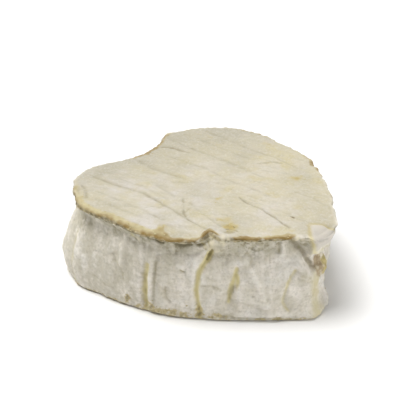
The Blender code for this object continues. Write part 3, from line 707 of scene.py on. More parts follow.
def markRim(made):
    # the tan edge, a band of painted shade with dark crumbs below it, and the broken crevice, painted
    # dark as shade
    strength, centre, width, brown = easedColumns("rimEdge")
    centre = centre * mm + 0.35 * mm * ragged
    width = width * mm * (1 + 0.35 * patchy)
    strength = np.clip(strength * (0.88 + (0.2 + 0.4 * brown) * (ragged + 0.5 * rough)), 0, 1)
    tan = strength * bell(down - centre, np.where(down < centre, 1.5 * width, width))
    # painted shade in a band just below the tan edge
    under = strength * bell(down - centre - 1.3 * mm, 1.3 * mm) * (down > centre)
    brown += 0.45 * ragged + 0.2 * rough
    below = smooth(down - centre, -0.6 * width, 0.8 * width)
    made["rimTan"] = tan
    made["rimBrown"] = np.clip(0.7 * brown + (0.6 + 0.4 * brown) * below, 0, 1)
    made["carve"] += tan * (0.30 + 0.20 * rough + 0.35 * ragged + 0.4 * patchy) * mm
    # the crevice is carved and painted dark as shade, with dark crumbs in it
    crevice, at = easedColumns("crevice")
    at = at * mm + 0.7 * mm * patchy + 0.4 * mm * ragged
    crevice *= bell(down - at, marks["creviceHalfWidth"]) * smooth(ragged + 0.2, -0.3, 0.25)
    for spotBearing, spotDown, halfWidth, dark in marks["lipSpots"]:
        gap = np.hypot(np.radians(bearing - spotBearing) * radii, down - spotDown * mm)
        gap *= 1 + 0.5 * ragged + 0.5 * rough
        crevice = np.maximum(crevice, 0.5 * dark * bell(gap, 0.8 * halfWidth * mm))
        under = np.maximum(under, 1.05 * dark * bell(gap, halfWidth * mm))
    made["under"] = under
    made["carve"] -= marks["creviceDepth"] * crevice
    made["crevice"] = np.clip(crevice * 1.6, 0, 1)


def markSide(made):
    # painted shade and mottling under the rim, creases, fine lines and ridges of the side, and what
    # has dried at its foot
    # painted shade under the rim, fading down the side
    gloom, reach = easedColumns("gloom")
    fade = 1 - smooth(down, 0.3 * reach * mm, reach * mm)
    made["gloom"] = gloom * smooth(down, *marks["underRimShadeStart"]) * fade
    # painted shade on the far left of the side, and greyer tone elsewhere
    made["dull"] = easedColumns("dull")[0] * side * (0.9 + 0.6 * patchy)
    olive = split = ridge = nothing
    # crease cores get a dark line: partly painted shade in them, partly their own darker colour
    for _, _, sharp, stain, spread, run in sideCreases:
        gap = toRun(run)
        made["carve"] -= sharp * mm * bell(gap, marks["creaseHalfWidth"]) * side * free
        olive = np.maximum(olive, stain * bell(gap + 0.3 * mm * ragged, spread * mm))
        split = np.maximum(split, 0.2 * stain * bell(gap, 0.5 * spread * mm) * (1 + ragged))
    blots = blobs(marks["blots"], bearing, height / mm, 1.5) * (0.8 + ragged)
    olive = np.maximum(olive, blots)
    # dark lines along the cracks: partly painted shade in them, partly their own darker colour
    for depth, halfWidth, dark, run in marks["sideLines"]:
        near = bell(toRun(run) + 0.2 * mm * ragged, halfWidth * mm)
        # ridges, which the colour whitens as a painted highlight
        if depth < 0:
            ridge = np.maximum(ridge, near * min(1.0, -2 * depth) * (0.8 + 0.6 * patchy))
        made["carve"] -= depth * mm * near * side * free
        split = np.maximum(split, dark * near * (0.85 + 0.5 * ragged))
    made["olive"] = np.clip(olive, 0, 1.2) * side * (0.95 + 0.5 * patchy)
    made["ridge"] = np.clip(ridge, 0, 1) * side
    made["lines"] = split * side
    dried = 0.75 + 0.8 * patchy + 0.6 * ragged + 0.4 * rough
    foot = 0.85 * (1 - smooth(height, *marks["driedFoot"])) * dried
    stains = blobs(marks["footStains"], bearing, height / mm) * (0.85 + 0.9 * rough)
    made["foot"] = np.clip(np.maximum(foot, stains), 0, 1) * side


def markTop(made):
    # the top's thin bloom with a painted shadow at the back, fine lines, ridges and ochre stains
    x, y = points[:, 0], points[:, 1]
    # greyer towards the back: thinner bloom, and a painted shadow
    made["thin"] = smooth(y + 0.3 * x, *marks["thinBloomAndShadowBand"]) * onTop
    uneven = 0.75 + 0.6 * patchy
    lines = nothing
    # dark lines along the grooves: partly painted shade in them, partly their own darker colour
    for depth, halfWidth, dark, run in marks["topLines"]:
        gap = distanceOnTop(x, y, run) + 0.25 * mm * ragged
        made["carve"] -= depth * mm * bell(gap, halfWidth * mm) * onTop * uneven
        lines = np.maximum(lines, dark * bell(gap, 0.75 * halfWidth * mm) * uneven)
    made["lines"] = np.clip(lines * onTop + made["lines"], 0, 1)
    ochre = blobs(marks["topStains"], x / mm, y / mm) * (0.9 + 0.8 * ragged)
    made["ochre"] = np.clip(ochre, 0, 1) * onTop
    made["carve"] += made["ochre"] * (0.35 * rough + 0.1) * mm


def markPoint(made):
    # round the point: the bare hollow, the yellow band below it and the smooth patch over it
    away = toRun(marks["bareRun"]) / marks["bareHalfWidth"]
    away += 0.15 * ragged + 0.15 * rough + 0.45 * smooth(bearing, *marks["bareRight"])
    made["bare"] = (1 - smooth(away, *marks["bareEdge"])) * side
    made["warm"] = smooth(bearing + 2.5 * ragged, *marks["bareWarm"])
    gap = toRun(marks["bandRun"]) + (0.9 * ragged + 0.8 * patchy) * mm
    made["band"] = bell(gap, marks["bandHalfWidth"]) * side

    # the distance to the patch's edge is measured on the rind rolled out flat
    leftEdge, topEdge = np.array(marks["patchLeft"]), np.array(marks["patchTop"])
    outline = np.vstack([leftEdge[:0:-1, ::-1], topEdge])
    edgeGap = distanceToRun(bearing, down, radii, outline) + 0.4 * mm * ragged
    leftAt = np.interp(down / mm, leftEdge[:, 0], leftEdge[:, 1])
    topAt = np.interp(bearing, topEdge[:, 0], topEdge[:, 1]) * mm
    inside = smooth(np.radians(bearing - leftAt) * radii, *marks["patchSides"])
    inside = inside * smooth(down - topAt, *marks["patchSides"])
    inside = inside * (1 - smooth(bearing, *marks["patchRight"]))
    made["patch"] = inside * smooth(height, *marks["patchBottom"])
    line = bell(edgeGap, marks["patchLineHalfWidth"]) * (0.75 + 0.5 * ragged)
    made["patchLine"] = np.clip(line * (height > marks["patchLineBottom"]), 0, 1)
    made["carve"] += marks["patchRise"] * (made["patch"] - made["patchLine"])


def markCrags(made):
    # where the rind is craggy: under the rim, at the foot, in the stains and the bare hollow
    left, right, upper, lower = marks["facet"]
    facet = smooth(bearing, *left) * (1 - smooth(bearing, *right))
    facet = facet * smooth(down, *upper) * (1 - smooth(down, *lower))
    below, halfWidth = marks["rimCrags"]
    rimCrags = 0.62 * bell(down - below, halfWidth) * (1 - 0.4 * smooth(bearing, 15, 40))
    footCrags = (0.8 + 0.8 * patchy) * (1 - smooth(height, *marks["footCrags"]))
    crags = np.maximum(rimCrags * (1 - facet), footCrags) * side
    crags = np.maximum(crags, 0.8 * np.maximum(made["ochre"], made["bare"]))
    made["crags"] = np.clip(crags, 0, 1) * (1 - 0.9 * made["patch"])
    made["free"] = free * (1 - 0.8 * facet)


def markLumps(made):
    # lumps of white mould
    white = nothing
    for lumpBearing, lumpHeight, halfWidth, rise in marks["lumps"]:
        gap = np.hypot(np.radians(bearing - lumpBearing) * radii, height - lumpHeight * mm)
        gap *= 1 + 0.45 * ragged + 0.3 * rough
        lump = bell(gap, halfWidth * mm) * smooth(down, *marks["lumpTop"])
        made["carve"] += rise * mm * lump * (1 + 0.5 * rough)
        white = np.maximum(white, lump)
    made["lump"] = np.clip(white, 0, 1) * (1 - 0.4 * onTop)


# the marks at every point of the mesh, and carve, how far the rind stands out there
heartMarks = {"side": side, "carve": nothing.copy()}
for markPart in (markRim, markSide, markTop, markPoint, markCrags, markLumps):
    markPart(heartMarks)
heartMarks["carve"] *= free

# and what the relief and the crumbs read: sunken places, which the colour darkens as painted shade,
# flaky and crumbly ones
heartMarks["sunk"] = np.clip(0.8 * heartMarks["crevice"] + 0.5 * heartMarks["olive"], 0, 1)
flaky = 0.4 * heartMarks["rimTan"] ** 2 + 0.6 * heartMarks["ochre"] ** 2
heartMarks["flaky"] = np.clip(flaky + 0.35 * heartMarks["foot"] * free, 0, 1)
heartMarks["crumbly"] = heartMarks["bare"] * smooth(height, *marks["bareTop"])
print("marks:", ", ".join(heartMarks))


# Nodes: sockets that take Python's operators, and one method that adds any node.
class Wire:
    # a value on its way through a node tree: an expression on it adds its Math nodes
    def __init__(self, graph, socket):
        self.graph = graph
        self.socket = socket

    def __add__(self, other):
        return self.graph.maths("ADD", self, other)

    def __sub__(self, other):
        return self.graph.maths("SUBTRACT", self, other)

    def __rsub__(self, other):
        return self.graph.maths("SUBTRACT", other, self)

    def __mul__(self, other):
        return self.graph.maths("MULTIPLY", self, other)

    def __rtruediv__(self, other):
        return self.graph.maths("DIVIDE", other, self)

    __radd__ = __add__
    __rmul__ = __mul__


class Graph:
    def __init__(self, tree):
        self.tree = tree
        tree.nodes.clear()

    def node(self, kind, settings=None, sockets=None, out=0):
        # a node of this kind: its settings first, then its sockets' values or links
        made = self.tree.nodes.new(kind)
        for name, value in (settings or {}).items():
            setattr(made, name, value)
        for name, value in (sockets or {}).items():
            if isinstance(value, Wire):
                self.tree.links.new(value.socket, made.inputs[name])
            else:
                made.inputs[name].default_value = value
        return Wire(self, made.outputs[out]) if made.outputs else made

    def maths(self, operation, *values):
        return self.node("ShaderNodeMath", {"operation": operation}, dict(enumerate(values)))

    def atMost(self, value, limit):
        return self.maths("MINIMUM", value, limit)

    def ease(self, value, low, high):
        settings = {"interpolation_type": "SMOOTHSTEP"}
        sockets = {"Value": value, "From Min": low, "From Max": high}
        return self.node("ShaderNodeMapRange", settings, sockets)

    def vector(self, operation, first, second):
        # Vector Math on two vectors, or SCALE on a vector and a number
        other = "Scale" if operation == "SCALE" else 1
        return self.node("ShaderNodeVectorMath", {"operation": operation}, {0: first, other: second})

    def turn(self, place, degrees):
        sockets = {"Vector": place, "Angle": math.radians(degrees)}
        return self.node("ShaderNodeVectorRotate", {"rotation_type": "Z_AXIS"}, sockets)

    def noise(self, place, scale, seed, detail=2.0, roughness=0.5, bend=0.0):
        sockets = {"Vector": place, "W": seed, "Scale": scale, "Detail": detail}
        sockets.update({"Roughness": roughness, "Distortion": bend})
        return self.node("ShaderNodeTexNoise", {"noise_dimensions": "4D"}, sockets)

    def placing(self):
        return self.node("ShaderNodeTexCoord", out="Object")

    def attribute(self, name):
        settings = {"data_type": "FLOAT"}
        return self.node("GeometryNodeInputNamedAttribute", settings, {"Name": name})

    def moved(self, geometry, offset):
        return self.node("GeometryNodeSetPosition", {}, {"Geometry": geometry, "Offset": offset})

    def bump(self, height, finish):
        sockets = {"Strength": finish["bump"], "Distance": finish["bumpDepth"], "Height": height}
        return self.node("ShaderNodeBump", {}, sockets)

    def surface(self, settings, sockets):
        shader = self.node("ShaderNodeBsdfPrincipled", settings, sockets)
        self.node("ShaderNodeOutputMaterial", {}, {"Surface": shader})

    def tint(self, share, under, over):
        # two colours mixed: sockets 0, 6 and 7 are a colour Mix's factor, A and B
        settings = {"data_type": "RGBA", "clamp_factor": True}
        return self.node("ShaderNodeMix", settings, {0: share, 6: under, 7: over}, out=2)

    def coats(self, colour, layers):
        # thin coats over a colour, one after another, each as (share, colour)
        for share, over in layers:
            colour = self.tint(share, colour, over)
        return colour


def newMaterial(name):
    material = bpy.data.materials.new(name)
    material.use_nodes = True
    return material, Graph(material.node_tree)


def newObject(name, data):
    obj = bpy.data.objects.new(name, data)
    bpy.context.scene.collection.objects.link(obj)
    return obj


def newTree(name, values):
    # a Geometry Nodes tree with a mesh and these named inputs coming in
    tree = bpy.data.node_groups.new(name, "GeometryNodeTree")
    tree.interface.new_socket("Geometry", in_out="OUTPUT", socket_type="NodeSocketGeometry")
    tree.interface.new_socket("Geometry", in_out="INPUT", socket_type="NodeSocketGeometry")
    kinds = {int: "NodeSocketInt", float: "NodeSocketFloat"}
    for label, value in values.items():
        kind = kinds.get(type(value), "NodeSocketMaterial")
        tree.interface.new_socket(label, in_out="INPUT", socket_type=kind)
    graph = Graph(tree)
    entry = tree.nodes.new("NodeGroupInput")
    return graph, {socket.name: Wire(graph, socket) for socket in entry.outputs}


def closeTree(graph, geometry, material):
    real = graph.node("GeometryNodeRealizeInstances", {}, {"Geometry": geometry})
    painted = graph.node("GeometryNodeSetMaterial", {}, {"Geometry": real, "Material": material})
    graph.node("NodeGroupOutput", {}, {"Geometry": painted})


def meshFrom(obj, tree, values, name):
    # what the tree makes of the object, as a plain mesh
    modifier = obj.modifiers.new(tree.name, "NODES")
    modifier.node_group = tree
    for item in tree.interface.items_tree:
        if item.in_out == "INPUT" and item.name in values:
            modifier[item.identifier] = values[item.name]
    depsgraph = bpy.context.evaluated_depsgraph_get()
    mesh = bpy.data.meshes.new_from_object(obj.evaluated_get(depsgraph))
    obj.modifiers.remove(modifier)
    mesh.name = name
    return mesh


# The finish of the rind. Colours are as they look, from 0 to 255.
rindColours = {
    "topCream": (215, 207, 183),
    "topWhite": (223, 216, 205),
    "topYellow": (214, 203, 166),
    "topGrey": (196, 189, 168),
    "sidePale": (219, 213, 203),
    "sideGrey": (186, 180, 163),
    "sideBlue": (208, 206, 200),
    # the colour of the painted shade under the rim
    "gloom": (158, 152, 130),
    # painted shade in the pits and the crevice under the lip
    "pit": (122, 114, 88),
    # painted shade in the relief's hollows, also the dark of the fine grain
    "hollow": (168, 160, 136),
    # painted highlight on crests and ridges
    "crest": (234, 230, 222),
    "olive": (204, 193, 144),
    "split": (138, 127, 86),
    "rimPale": (216, 203, 158),
    "rimBrown": (150, 122, 62),
    # painted shade with dark crumbs just under the rim's edge
    "under": (176, 162, 124),
    "underDark": (136, 122, 86),
    "ochre": (192, 170, 98),
    "stain": (204, 188, 136),
    "line": (160, 151, 122),
    "crack": (128, 108, 72),
    "bare": (162, 144, 113),
    "bareWarm": (180, 165, 104),
    "band": (194, 184, 144),
    "lump": (200, 192, 168),
    "foot": (176, 161, 116),
    "base": (132, 122, 92),
}

rindFinish = {
    "topLight": 1.38,  # how brightly the studio lights the top and the side
    "sideLight": 0.93,
    "patchLight": 1.35,
    "roughness": 0.86,
    "sheen": 0.12,
    "sheenRoughness": 0.6,
    "specular": 0.28,
    "subsurface": 0.08,
    "subsurfaceReach": 1.4 * mm,
    "subsurfaceColour": (1.0, 0.75, 0.45),
    "bump": 0.5,
    "bumpDepth": 0.15 * mm,
    "wrinkleTurn": 72,  # the top's fine wrinkles run this many degrees off Y
}


def paint(name, light=rindFinish["topLight"]):
    # a colour as it looks, made the surface's own by the share of light that it gets
    steps = [value / 255 for value in rindColours[name]]
    linear = [((step + 0.055) / 1.055) ** 2.4 / light for step in steps]
    return (*[min(value, 0.95) for value in linear], 1)


def sidePaint(name):
    return paint(name, rindFinish["sideLight"])


def rindMaterial():
    material, graph = newMaterial("bloomyRind")
    place = graph.placing()

    def mark(name):
        return graph.node("ShaderNodeAttribute", {"attribute_name": name}, out="Fac")

    def patches(size, seed, detail=2.0, factors=None, bend=0.0):
        spot = graph.vector("MULTIPLY", place, factors) if factors else place
        return graph.noise(spot, 1 / (size * mm), seed, detail, bend=bend)

    broad = patches(14, 1.0)
    middling = patches(5, 2.0, 3.0)
    small = patches(1.7, 3.0, 3.0)
    fine = patches(0.7, 4.0, 2.0)
    streaks = patches(4.5, 5.0, 3.0, (1.0, 1.0, 0.28), 0.3)
    level = patches(3.2, 6.0, 3.0, (0.5, 0.5, 2.2), 0.4)
    turned = graph.turn(place, rindFinish["wrinkleTurn"])
    turned = graph.vector("MULTIPLY", turned, (0.4, 1.6, 1.0))
    ripples = graph.noise(turned, 1 / (2.6 * mm), 7.0, 3.0, bend=0.4)

    # the top: cream, whiter where the bloom is thick, yellower where it is thin, finely rippled, with
    # a painted shadow at the back and a painted reflection of yellow light to the right
    yellow = graph.ease(patches(9, 8.0) + 0.2 * middling, 0.58, 0.80)
    # yellower to the right: partly the rind's own tone, partly a painted reflection of yellow light
    yellowerAndReflectedToRight = graph.ease(graph.node("ShaderNodeSeparateXYZ", {}, {"Vector": place}), -0.03, 0.03)
    shade = graph.ease(patches(18, 11.0) + 0.25 * middling, 0.56, 0.80)
    top = graph.coats(paint("topCream"), [
        (graph.ease(broad + 0.35 * middling, 0.60, 0.84), paint("topWhite")),
        # yellow patches, and yellower to the right, partly as a painted reflection
        (graph.atMost(yellow * 0.75 + yellowerAndReflectedToRight * 0.42, 1.0), paint("topYellow")),
        # greyer in chance patches, and at the back where the bloom is thin and a painted shadow lies
        (graph.atMost(shade * 0.5 + mark("thin") * 0.75, 1.0), paint("topGrey")),
        (graph.ease(ripples, 0.5, 0.7) * 0.45, paint("topGrey")),
    ])

    # the side: paler and greyer, in soft upright streaks and level crinkles
    grey = graph.ease(0.4 * streaks + 0.35 * middling + 0.25 * broad + 0.25 * level, 0.50, 0.80)
    dull = mark("dull") * graph.ease(0.5 * small + 0.5 * streaks, 0.36, 0.62)
    side = graph.coats(sidePaint("sidePale"), [
        (grey, sidePaint("sideGrey")),
        (graph.ease(patches(10, 9.0), 0.50, 0.64) * 0.4, sidePaint("sideBlue")),
        # painted shade on the far left of the side, and greyer tone elsewhere
        (graph.atMost(dull, 0.9), sidePaint("sideGrey")),
    ])

    # how much of each stain shows, and the stains that have two colours
    onSide, hollow, gloom, lines = (mark(name) for name in ("side", "hollow", "gloom", "lines"))
    grain = graph.ease(patches(0.9, 14.0, 3.0), 0.42, 0.75)
    mottle = graph.ease(0.6 * middling + 0.55 * small, 0.40, 0.68)
    pits = graph.ease(0.5 * small + 0.7 * fine + 0.3 * hollow, 0.66, 0.82)
    tufts = graph.ease(patches(2.0, 12.0, 3.0), 0.56, 0.68) * mark("crags")
    ochre = mark("ochre") + 0.45 * (small - 0.5)
    stain = graph.tint(graph.ease(ochre, 0.45, 1.0), paint("stain"), paint("ochre"))
    pressed = graph.tint(graph.ease(lines, 0.55, 0.95), paint("line"), paint("crack"))
    pressed = graph.tint(onSide, pressed, sidePaint("split"))
    olive = graph.ease(mark("olive") + 0.5 * (small - 0.5) + 0.3 * (fine - 0.5), 0.05, 1.1)
    band = mark("band") * graph.ease(middling + 0.6 * small, 0.45, 0.9)
    foot = graph.ease(mark("foot") + 0.9 * (small - 0.5) + 0.7 * (fine - 0.5), 0.27, 0.73)
    oldest = graph.ease(mark("foot") + 0.9 * (fine - 0.5), 0.70, 1.05)
    dried = graph.tint(oldest, sidePaint("foot"), sidePaint("base"))
    trim = graph.tint(onSide, paint("stain"), sidePaint("olive"))
    under = graph.ease(mark("under") + 0.5 * (middling - 0.5), 0.2, 0.7)
    shadeAndCrumbsColour = graph.coats(paint("under"), [
        (graph.ease(small + 0.4 * (fine - 0.5), 0.44, 0.56), paint("underDark")),
        (graph.ease(patches(1.3, 16.0, 2.0), 0.56, 0.64) * 0.7, paint("rimPale")),
    ])
    tan = graph.ease(mark("rimTan") + 0.5 * (small - 0.5), 0.22, 0.66)
    edge = graph.tint(mark("rimBrown") + 0.7 * (small - 0.5), paint("rimPale"), paint("rimBrown"))
    warm = graph.ease(mark("warm") + 0.8 * (middling - 0.5), 0.3, 0.7)
    fibres = graph.ease(patches(1.8, 13.0, 3.0, (1.0, 1.0, 0.35)), 0.48, 0.62)
    crust = graph.coats(sidePaint("bare"), [
        (warm, sidePaint("bareWarm")),
        (fibres * 0.5, sidePaint("crack")),
        (graph.ease(patches(1.3, 15.0, 2.0), 0.54, 0.64) * 0.55, sidePaint("lump")),
    ])

    colour = graph.coats(graph.tint(onSide, top, side), [
        # painted shade darkens the relief's hollows and a painted highlight whitens the crests of the
        # bump, and all of it is finely grained
        (graph.ease(hollow, 0.3, 0.9) * 0.5, paint("hollow")),
        (graph.ease(fine + 0.5 * small, 0.72, 1.0) * 0.4, paint("crest")),
        (grain * (0.12 + 0.20 * onSide), paint("hollow")),
        # painted shade under the rim, with grey and olive mottling and darker pits in it
        (gloom * (0.3 + 0.7 * mottle), sidePaint("gloom")),
        (gloom * pits * (0.55 + 0.45 * mark("crags")), sidePaint("pit")),
        (tufts * gloom * 0.8, sidePaint("sidePale")),
        # painted shade in the crevice under the lip, with dark crumbs in it
        (mark("crevice"), sidePaint("pit")),
        # ochre stains on the top, deeper in the middle, and lines pressed in, darkened partly as
        # painted shade in them and partly by their own colour
        (graph.ease(ochre, 0.10, 0.80) * 0.85, stain),
        (lines * (0.5 + 0.8 * middling), pressed),
        # creases that have turned olive, cracks, and what has dried at the foot
        # a painted highlight on the side's small ridges
        (mark("ridge") * 0.35, sidePaint("crest")),
        (olive * 0.9, sidePaint("olive")),
        # cracks on the side, darkened partly as painted shade in them and partly by their own colour
        (graph.ease(lines, 0.35, 0.9) * onSide, sidePaint("split")),
        (band * 0.8, sidePaint("band")),
        (foot * 0.88, dried),
        # the smooth patch over the point is white, with an olive line round it
        (mark("patch") * 0.75, paint("topWhite", rindFinish["patchLight"])),
        (mark("patchLine"), trim),
        # painted shade with dark crumbs just under the rim, then its edge: pale yellow on the crest,
        # browner below
        (under * 0.85, shadeAndCrumbsColour),
        (tan * 0.92, edge),
        # the bare hollow, and lumps of clean white mould
        (mark("bare") * 0.92, crust),
        (graph.ease(mark("lump"), 0.3, 0.9) * 0.75, sidePaint("lump")),
    ])

    velvet = 0.6 * fine + 0.4 * patches(0.35, 10.0, 2.0)
    rough = rindFinish["roughness"] + 0.1 * (small - 0.5) - 0.12 * mark("bare")
    graph.surface({"subsurface_method": "RANDOM_WALK"}, {
        "Base Color": colour,
        "Roughness": rough,
        "Normal": graph.bump(velvet, rindFinish),
        "Specular IOR Level": rindFinish["specular"],
        "Sheen Weight": rindFinish["sheen"],
        "Sheen Roughness": rindFinish["sheenRoughness"],
        "Subsurface Weight": rindFinish["subsurface"],
        "Subsurface Radius": rindFinish["subsurfaceColour"],
        "Subsurface Scale": rindFinish["subsurfaceReach"],
    })
    return material


# The rind itself: the form, then a tree that wrinkles, pits and furs it.
rind = {
    "Wrinkle Depth": 0.42 * mm,
    "Wrinkle Size": 6.0 * mm,
    "Pit Depth": 0.7 * mm,
    "Pit Size": 2.4 * mm,
    "Velvet Height": 0.18 * mm,
    "Velvet Size": 1.9 * mm,
    "Crag Height": 0.8 * mm,
    "Crag Size": 2.1 * mm,
    "Seed": 7,
}


def rindReliefTree():
    graph, given = newTree("rindRelief", {**rind, "Material": None})
    place = graph.node("GeometryNodeInputPosition")
    seed = given["Seed"] * 1.0
    mark = graph.attribute

    def creases(factors, offset, turned=0.0):
        # narrow furrows between soft cushions: 1 at the bottom of a furrow
        spot = graph.vector("MULTIPLY", graph.turn(place, turned), factors)
        waves = graph.noise(spot, 1 / given["Wrinkle Size"], seed + offset, 3.0, 0.55, 0.5)
        return 1 - graph.ease(graph.maths("ABSOLUTE", waves - 0.5), 0.0, 0.075)

    side = mark("side")
    onSide = 0.4 * creases((0.7, 0.7, 1.6), 0.1) + 0.4 * creases((1.2, 1.2, 0.6), 0.2)
    crinkled = graph.ease(graph.noise(place, 1 / given["Wrinkle Size"], seed + 0.8), 0.42, 0.58)
    onSide = onSide + 0.5 * creases((1.3, 1.3, 4.4), 0.7) * crinkled
    onTop = creases((0.6, 1.7, 0.5), 0.3, rindFinish["wrinkleTurn"])
    wrinkle = onSide * side + onTop * 0.7 * (1 - side)
    velvet = graph.noise(place, 1 / given["Velvet Size"], seed + 0.4, 2.0, 0.6)
    cells = graph.node("ShaderNodeTexVoronoi", {}, {"Vector": place, "Scale": 1 / given["Pit Size"]})
    pitted = graph.ease(graph.noise(place, 1 / given["Pit Size"], seed + 0.5), 0.45, 0.6)
    pit = (1 - graph.ease(cells, 0.1, 0.5)) * pitted * graph.atMost(mark("gloom") * 1.4, 1.0)

    crag = (graph.noise(place, 1 / given["Crag Size"], seed + 0.6, 3.0, 0.6) - 0.45) * mark("crags")

    calm = (1 - 0.75 * mark("patch")) * mark("free")
    down = given["Wrinkle Depth"] * wrinkle + given["Pit Depth"] * pit
    up = given["Velvet Height"] * (2 * velvet - 1) + given["Crag Height"] * 3.0 * crag
    relief = (up - down) * calm + mark("carve")
    offset = graph.vector("SCALE", graph.node("GeometryNodeInputNormal"), relief)
    moved = graph.moved(given["Geometry"], offset)
    # how low each point lies, kept for the colour to darken as painted shade
    low = 0.55 * wrinkle + 0.8 * pit + 1.2 * (0.5 - velvet) - 3.0 * crag
    hollow = graph.atMost(low + mark("sunk"), 1.0)
    stored = {"Geometry": moved, "Name": "hollow", "Value": hollow}
    kept = graph.node("GeometryNodeStoreNamedAttribute", {"data_type": "FLOAT"}, stored)
    closeTree(graph, kept, given["Material"])
    return graph.tree


def heartPiece():
    mesh = bpy.data.meshes.new("heartForm")
    mesh.from_pydata((points - middle).tolist(), [], faces)
    for name, values in heartMarks.items():
        stored = mesh.attributes.new(name, "FLOAT", "POINT").data
        stored.foreach_set("value", values.astype(np.float32))
    mesh.shade_smooth()
    obj = newObject("cheese_rind", mesh)
    obj.data = meshFrom(obj, rindReliefTree(), {**rind, "Material": rindMaterial()}, obj.name)
    return obj


cheese = heartPiece()
print("rind:", len(cheese.data.polygons), "faces")


# Crumbs and flakes that cling to the rim, the stains, the foot and the bare hollow.
crumbs = {
    "Density": 350000.0,  # to the square metre where the mark is 1
    "Smallest": 0.12 * mm,
    "Largest": 0.34 * mm,
    "Length": 1.5,  # of the sizes above
    "Thickness": 0.7,
    "Break Size": 0.45 * mm,
    "Break Depth": 0.5 * mm,
    "Subdivisions": 2,
    "Seed": 21,
}

crumbFinish = {
    "colours": {"rind_flakes": "rimPale", "paste_crumbs": "topYellow"},
    "mottleSize": 1.6 * mm,
    "grainSize": 0.3 * mm,
    "bump": 0.4,
    "bumpDepth": 0.1 * mm,
    "roughness": 0.85,
    "specular": 0.25,
}


def crumbMaterial(name):
    material, graph = newMaterial(name)
    place = graph.placing()
    spread = graph.ease(graph.noise(place, 1 / crumbFinish["mottleSize"], 3.0, 3.0), 0.45, 0.75)
    grain = graph.noise(place, 1 / crumbFinish["grainSize"], 5.0)
    colour = paint(crumbFinish["colours"][name])
    graph.surface({}, {
        "Base Color": graph.tint(spread * 0.7, colour, paint("rimBrown")),
        "Roughness": crumbFinish["roughness"],
        "Normal": graph.bump(grain, crumbFinish),
        "Specular IOR Level": crumbFinish["specular"],
    })
    return material


def crumbTree(name, where):
    graph, given = newTree(name, {**crumbs, "Material": None})
    density = graph.attribute(where) * given["Density"]
    spread = {"Mesh": given["Geometry"], "Density": density, "Seed": given["Seed"]}
    spots = graph.node("GeometryNodeDistributePointsOnFaces", {}, spread)
    turned = Wire(graph, spots.socket.node.outputs["Rotation"])
    sizes = {2: given["Smallest"], 3: given["Largest"], "Seed": given["Seed"]}
    size = graph.node("FunctionNodeRandomValue", {"data_type": "FLOAT"}, sizes, out=1)
    flat = {"X": size * given["Length"], "Y": size, "Z": size * given["Thickness"]}
    flat = graph.node("ShaderNodeCombineXYZ", {}, flat)
    ball = {"Radius": 1.0, "Subdivisions": given["Subdivisions"]}
    chip = graph.node("GeometryNodeMeshIcoSphere", {}, ball)
    placed = {"Points": spots, "Instance": chip, "Rotation": turned, "Scale": flat}
    chips = graph.node("GeometryNodeInstanceOnPoints", {}, placed)
    real = graph.node("GeometryNodeRealizeInstances", {}, {"Geometry": chips})
    place = graph.node("GeometryNodeInputPosition")
    jolt = graph.noise(place, 1 / given["Break Size"], given["Seed"] * 1.0)
    jolted = Wire(graph, jolt.socket.node.outputs["Color"])
    centred = graph.vector("SUBTRACT", jolted, (0.5, 0.5, 0.5))
    shift = graph.vector("SCALE", centred, given["Break Depth"])
    closeTree(graph, graph.moved(real, shift), given["Material"])
    return graph.tree


def crumbPiece(name, where):
    values = {**crumbs, "Material": crumbMaterial(name)}
    return newObject(name, meshFrom(cheese, crumbTree(name, where), values, name))


flakes = crumbPiece("rind_flakes", "flaky")
paste = crumbPiece("paste_crumbs", "crumbly")
print("flakes:", len(flakes.data.polygons), "faces; crumbs:", len(paste.data.polygons), "faces")

for piece in (cheese, flakes, paste):
    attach(piece, "root")
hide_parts("cheese_heart")


# The studio: a pale floor, a white cove all round, soft light from above, a fill, the camera.
studio = {
    "floorSize": 40.0,
    "floorTone": (0.86, 0.857, 0.85, 1),
    "floorShade": 0.985,
    "floorRoughness": 0.9,
    "sky": (1.0, 0.995, 0.98, 1),
    "coveStrength": 0.65,
    "skyStrength": 0.28,
    "coveHeight": (0.03, 0.2),
    "keyPlace": (-0.15, 0.30, 0.85),
    "keyAngle": 40,
    "keyPower": 3.4,
    "fillPlace": (0.24, -0.88, 0.45),
    "fillSize": 0.7,
    "fillPower": 3.6,
    "target": (-0.0004, 0.0101, 0.0253),
    "azimuth": -46.84,
    "elevation": 27.45,
    "distance": 0.3816,
    "lens": 85.91,
    "sensorWidth": 36,
    "clipStart": 0.01,
}


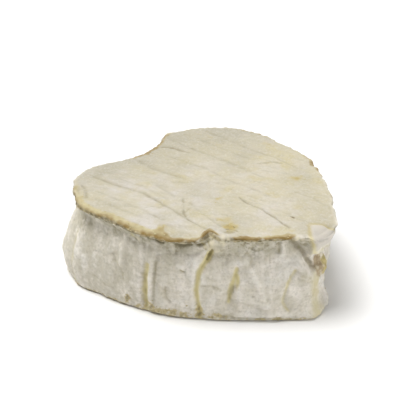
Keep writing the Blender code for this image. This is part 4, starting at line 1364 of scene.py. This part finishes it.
def floorPiece():
    half = studio["floorSize"] / 2
    corners = [(-half, -half, 0), (half, -half, 0), (half, half, 0), (-half, half, 0)]
    mesh = bpy.data.meshes.new("floor")
    mesh.from_pydata(corners, [], [(0, 1, 2, 3)])
    material, graph = newMaterial("paleFloor")
    tone = studio["floorTone"]
    shade = (*[value * studio["floorShade"] for value in tone[:3]], 1)
    soft = graph.tint(graph.noise(graph.placing(), 6.0, 2.0), tone, shade)
    graph.surface({}, {"Base Color": soft, "Roughness": studio["floorRoughness"]})
    mesh.materials.append(material)
    newObject("floor", mesh)


def aimed(name, data, place):
    # a lamp or camera at this place, looking at the target
    obj = newObject(name, data)
    obj.location = place
    ahead = Vector(studio["target"]) - Vector(place)
    obj.rotation_euler = ahead.to_track_quat("-Z", "Y").to_euler()
    return obj


def keyLight():
    light = bpy.data.lights.new("keyLight", "SUN")
    light.angle = math.radians(studio["keyAngle"])
    light.energy = studio["keyPower"]
    aimed("keyLight", light, studio["keyPlace"])


def fillLamp():
    light = bpy.data.lights.new("fillLamp", "AREA")
    light.shape = "DISK"
    light.size = studio["fillSize"]
    light.energy = studio["fillPower"]
    aimed("fillLamp", light, studio["fillPlace"])


def camera():
    lens = bpy.data.cameras.new("camera")
    lens.lens = studio["lens"]
    lens.sensor_width = studio["sensorWidth"]
    lens.clip_start = studio["clipStart"]
    turn, lift = math.radians(studio["azimuth"]), math.radians(studio["elevation"])
    level = math.cos(lift)
    back = Vector((math.sin(turn) * level, -math.cos(turn) * level, math.sin(lift)))
    place = Vector(studio["target"]) + back * studio["distance"]
    bpy.context.scene.camera = aimed("camera", lens, place)


def sky():
    world = bpy.data.worlds.new("softSky")
    world.use_nodes = True
    graph = Graph(world.node_tree)
    # bright near the level of the floor, dimmer overhead
    around = graph.node("ShaderNodeTexCoord", out="Generated")
    height = graph.node("ShaderNodeSeparateXYZ", {}, {"Vector": around}, out="Z")
    drop = studio["coveStrength"] - studio["skyStrength"]
    fall = graph.ease(height, *studio["coveHeight"]) * drop
    light = {"Color": studio["sky"], "Strength": studio["coveStrength"] - fall}
    glow = graph.node("ShaderNodeBackground", {}, light)
    graph.node("ShaderNodeOutputWorld", {}, {"Surface": glow})
    bpy.context.scene.world = world


floorPiece()
keyLight()
fillLamp()
sky()
camera()
bpy.context.scene.view_settings.view_transform = "Standard"
print("studio lit")
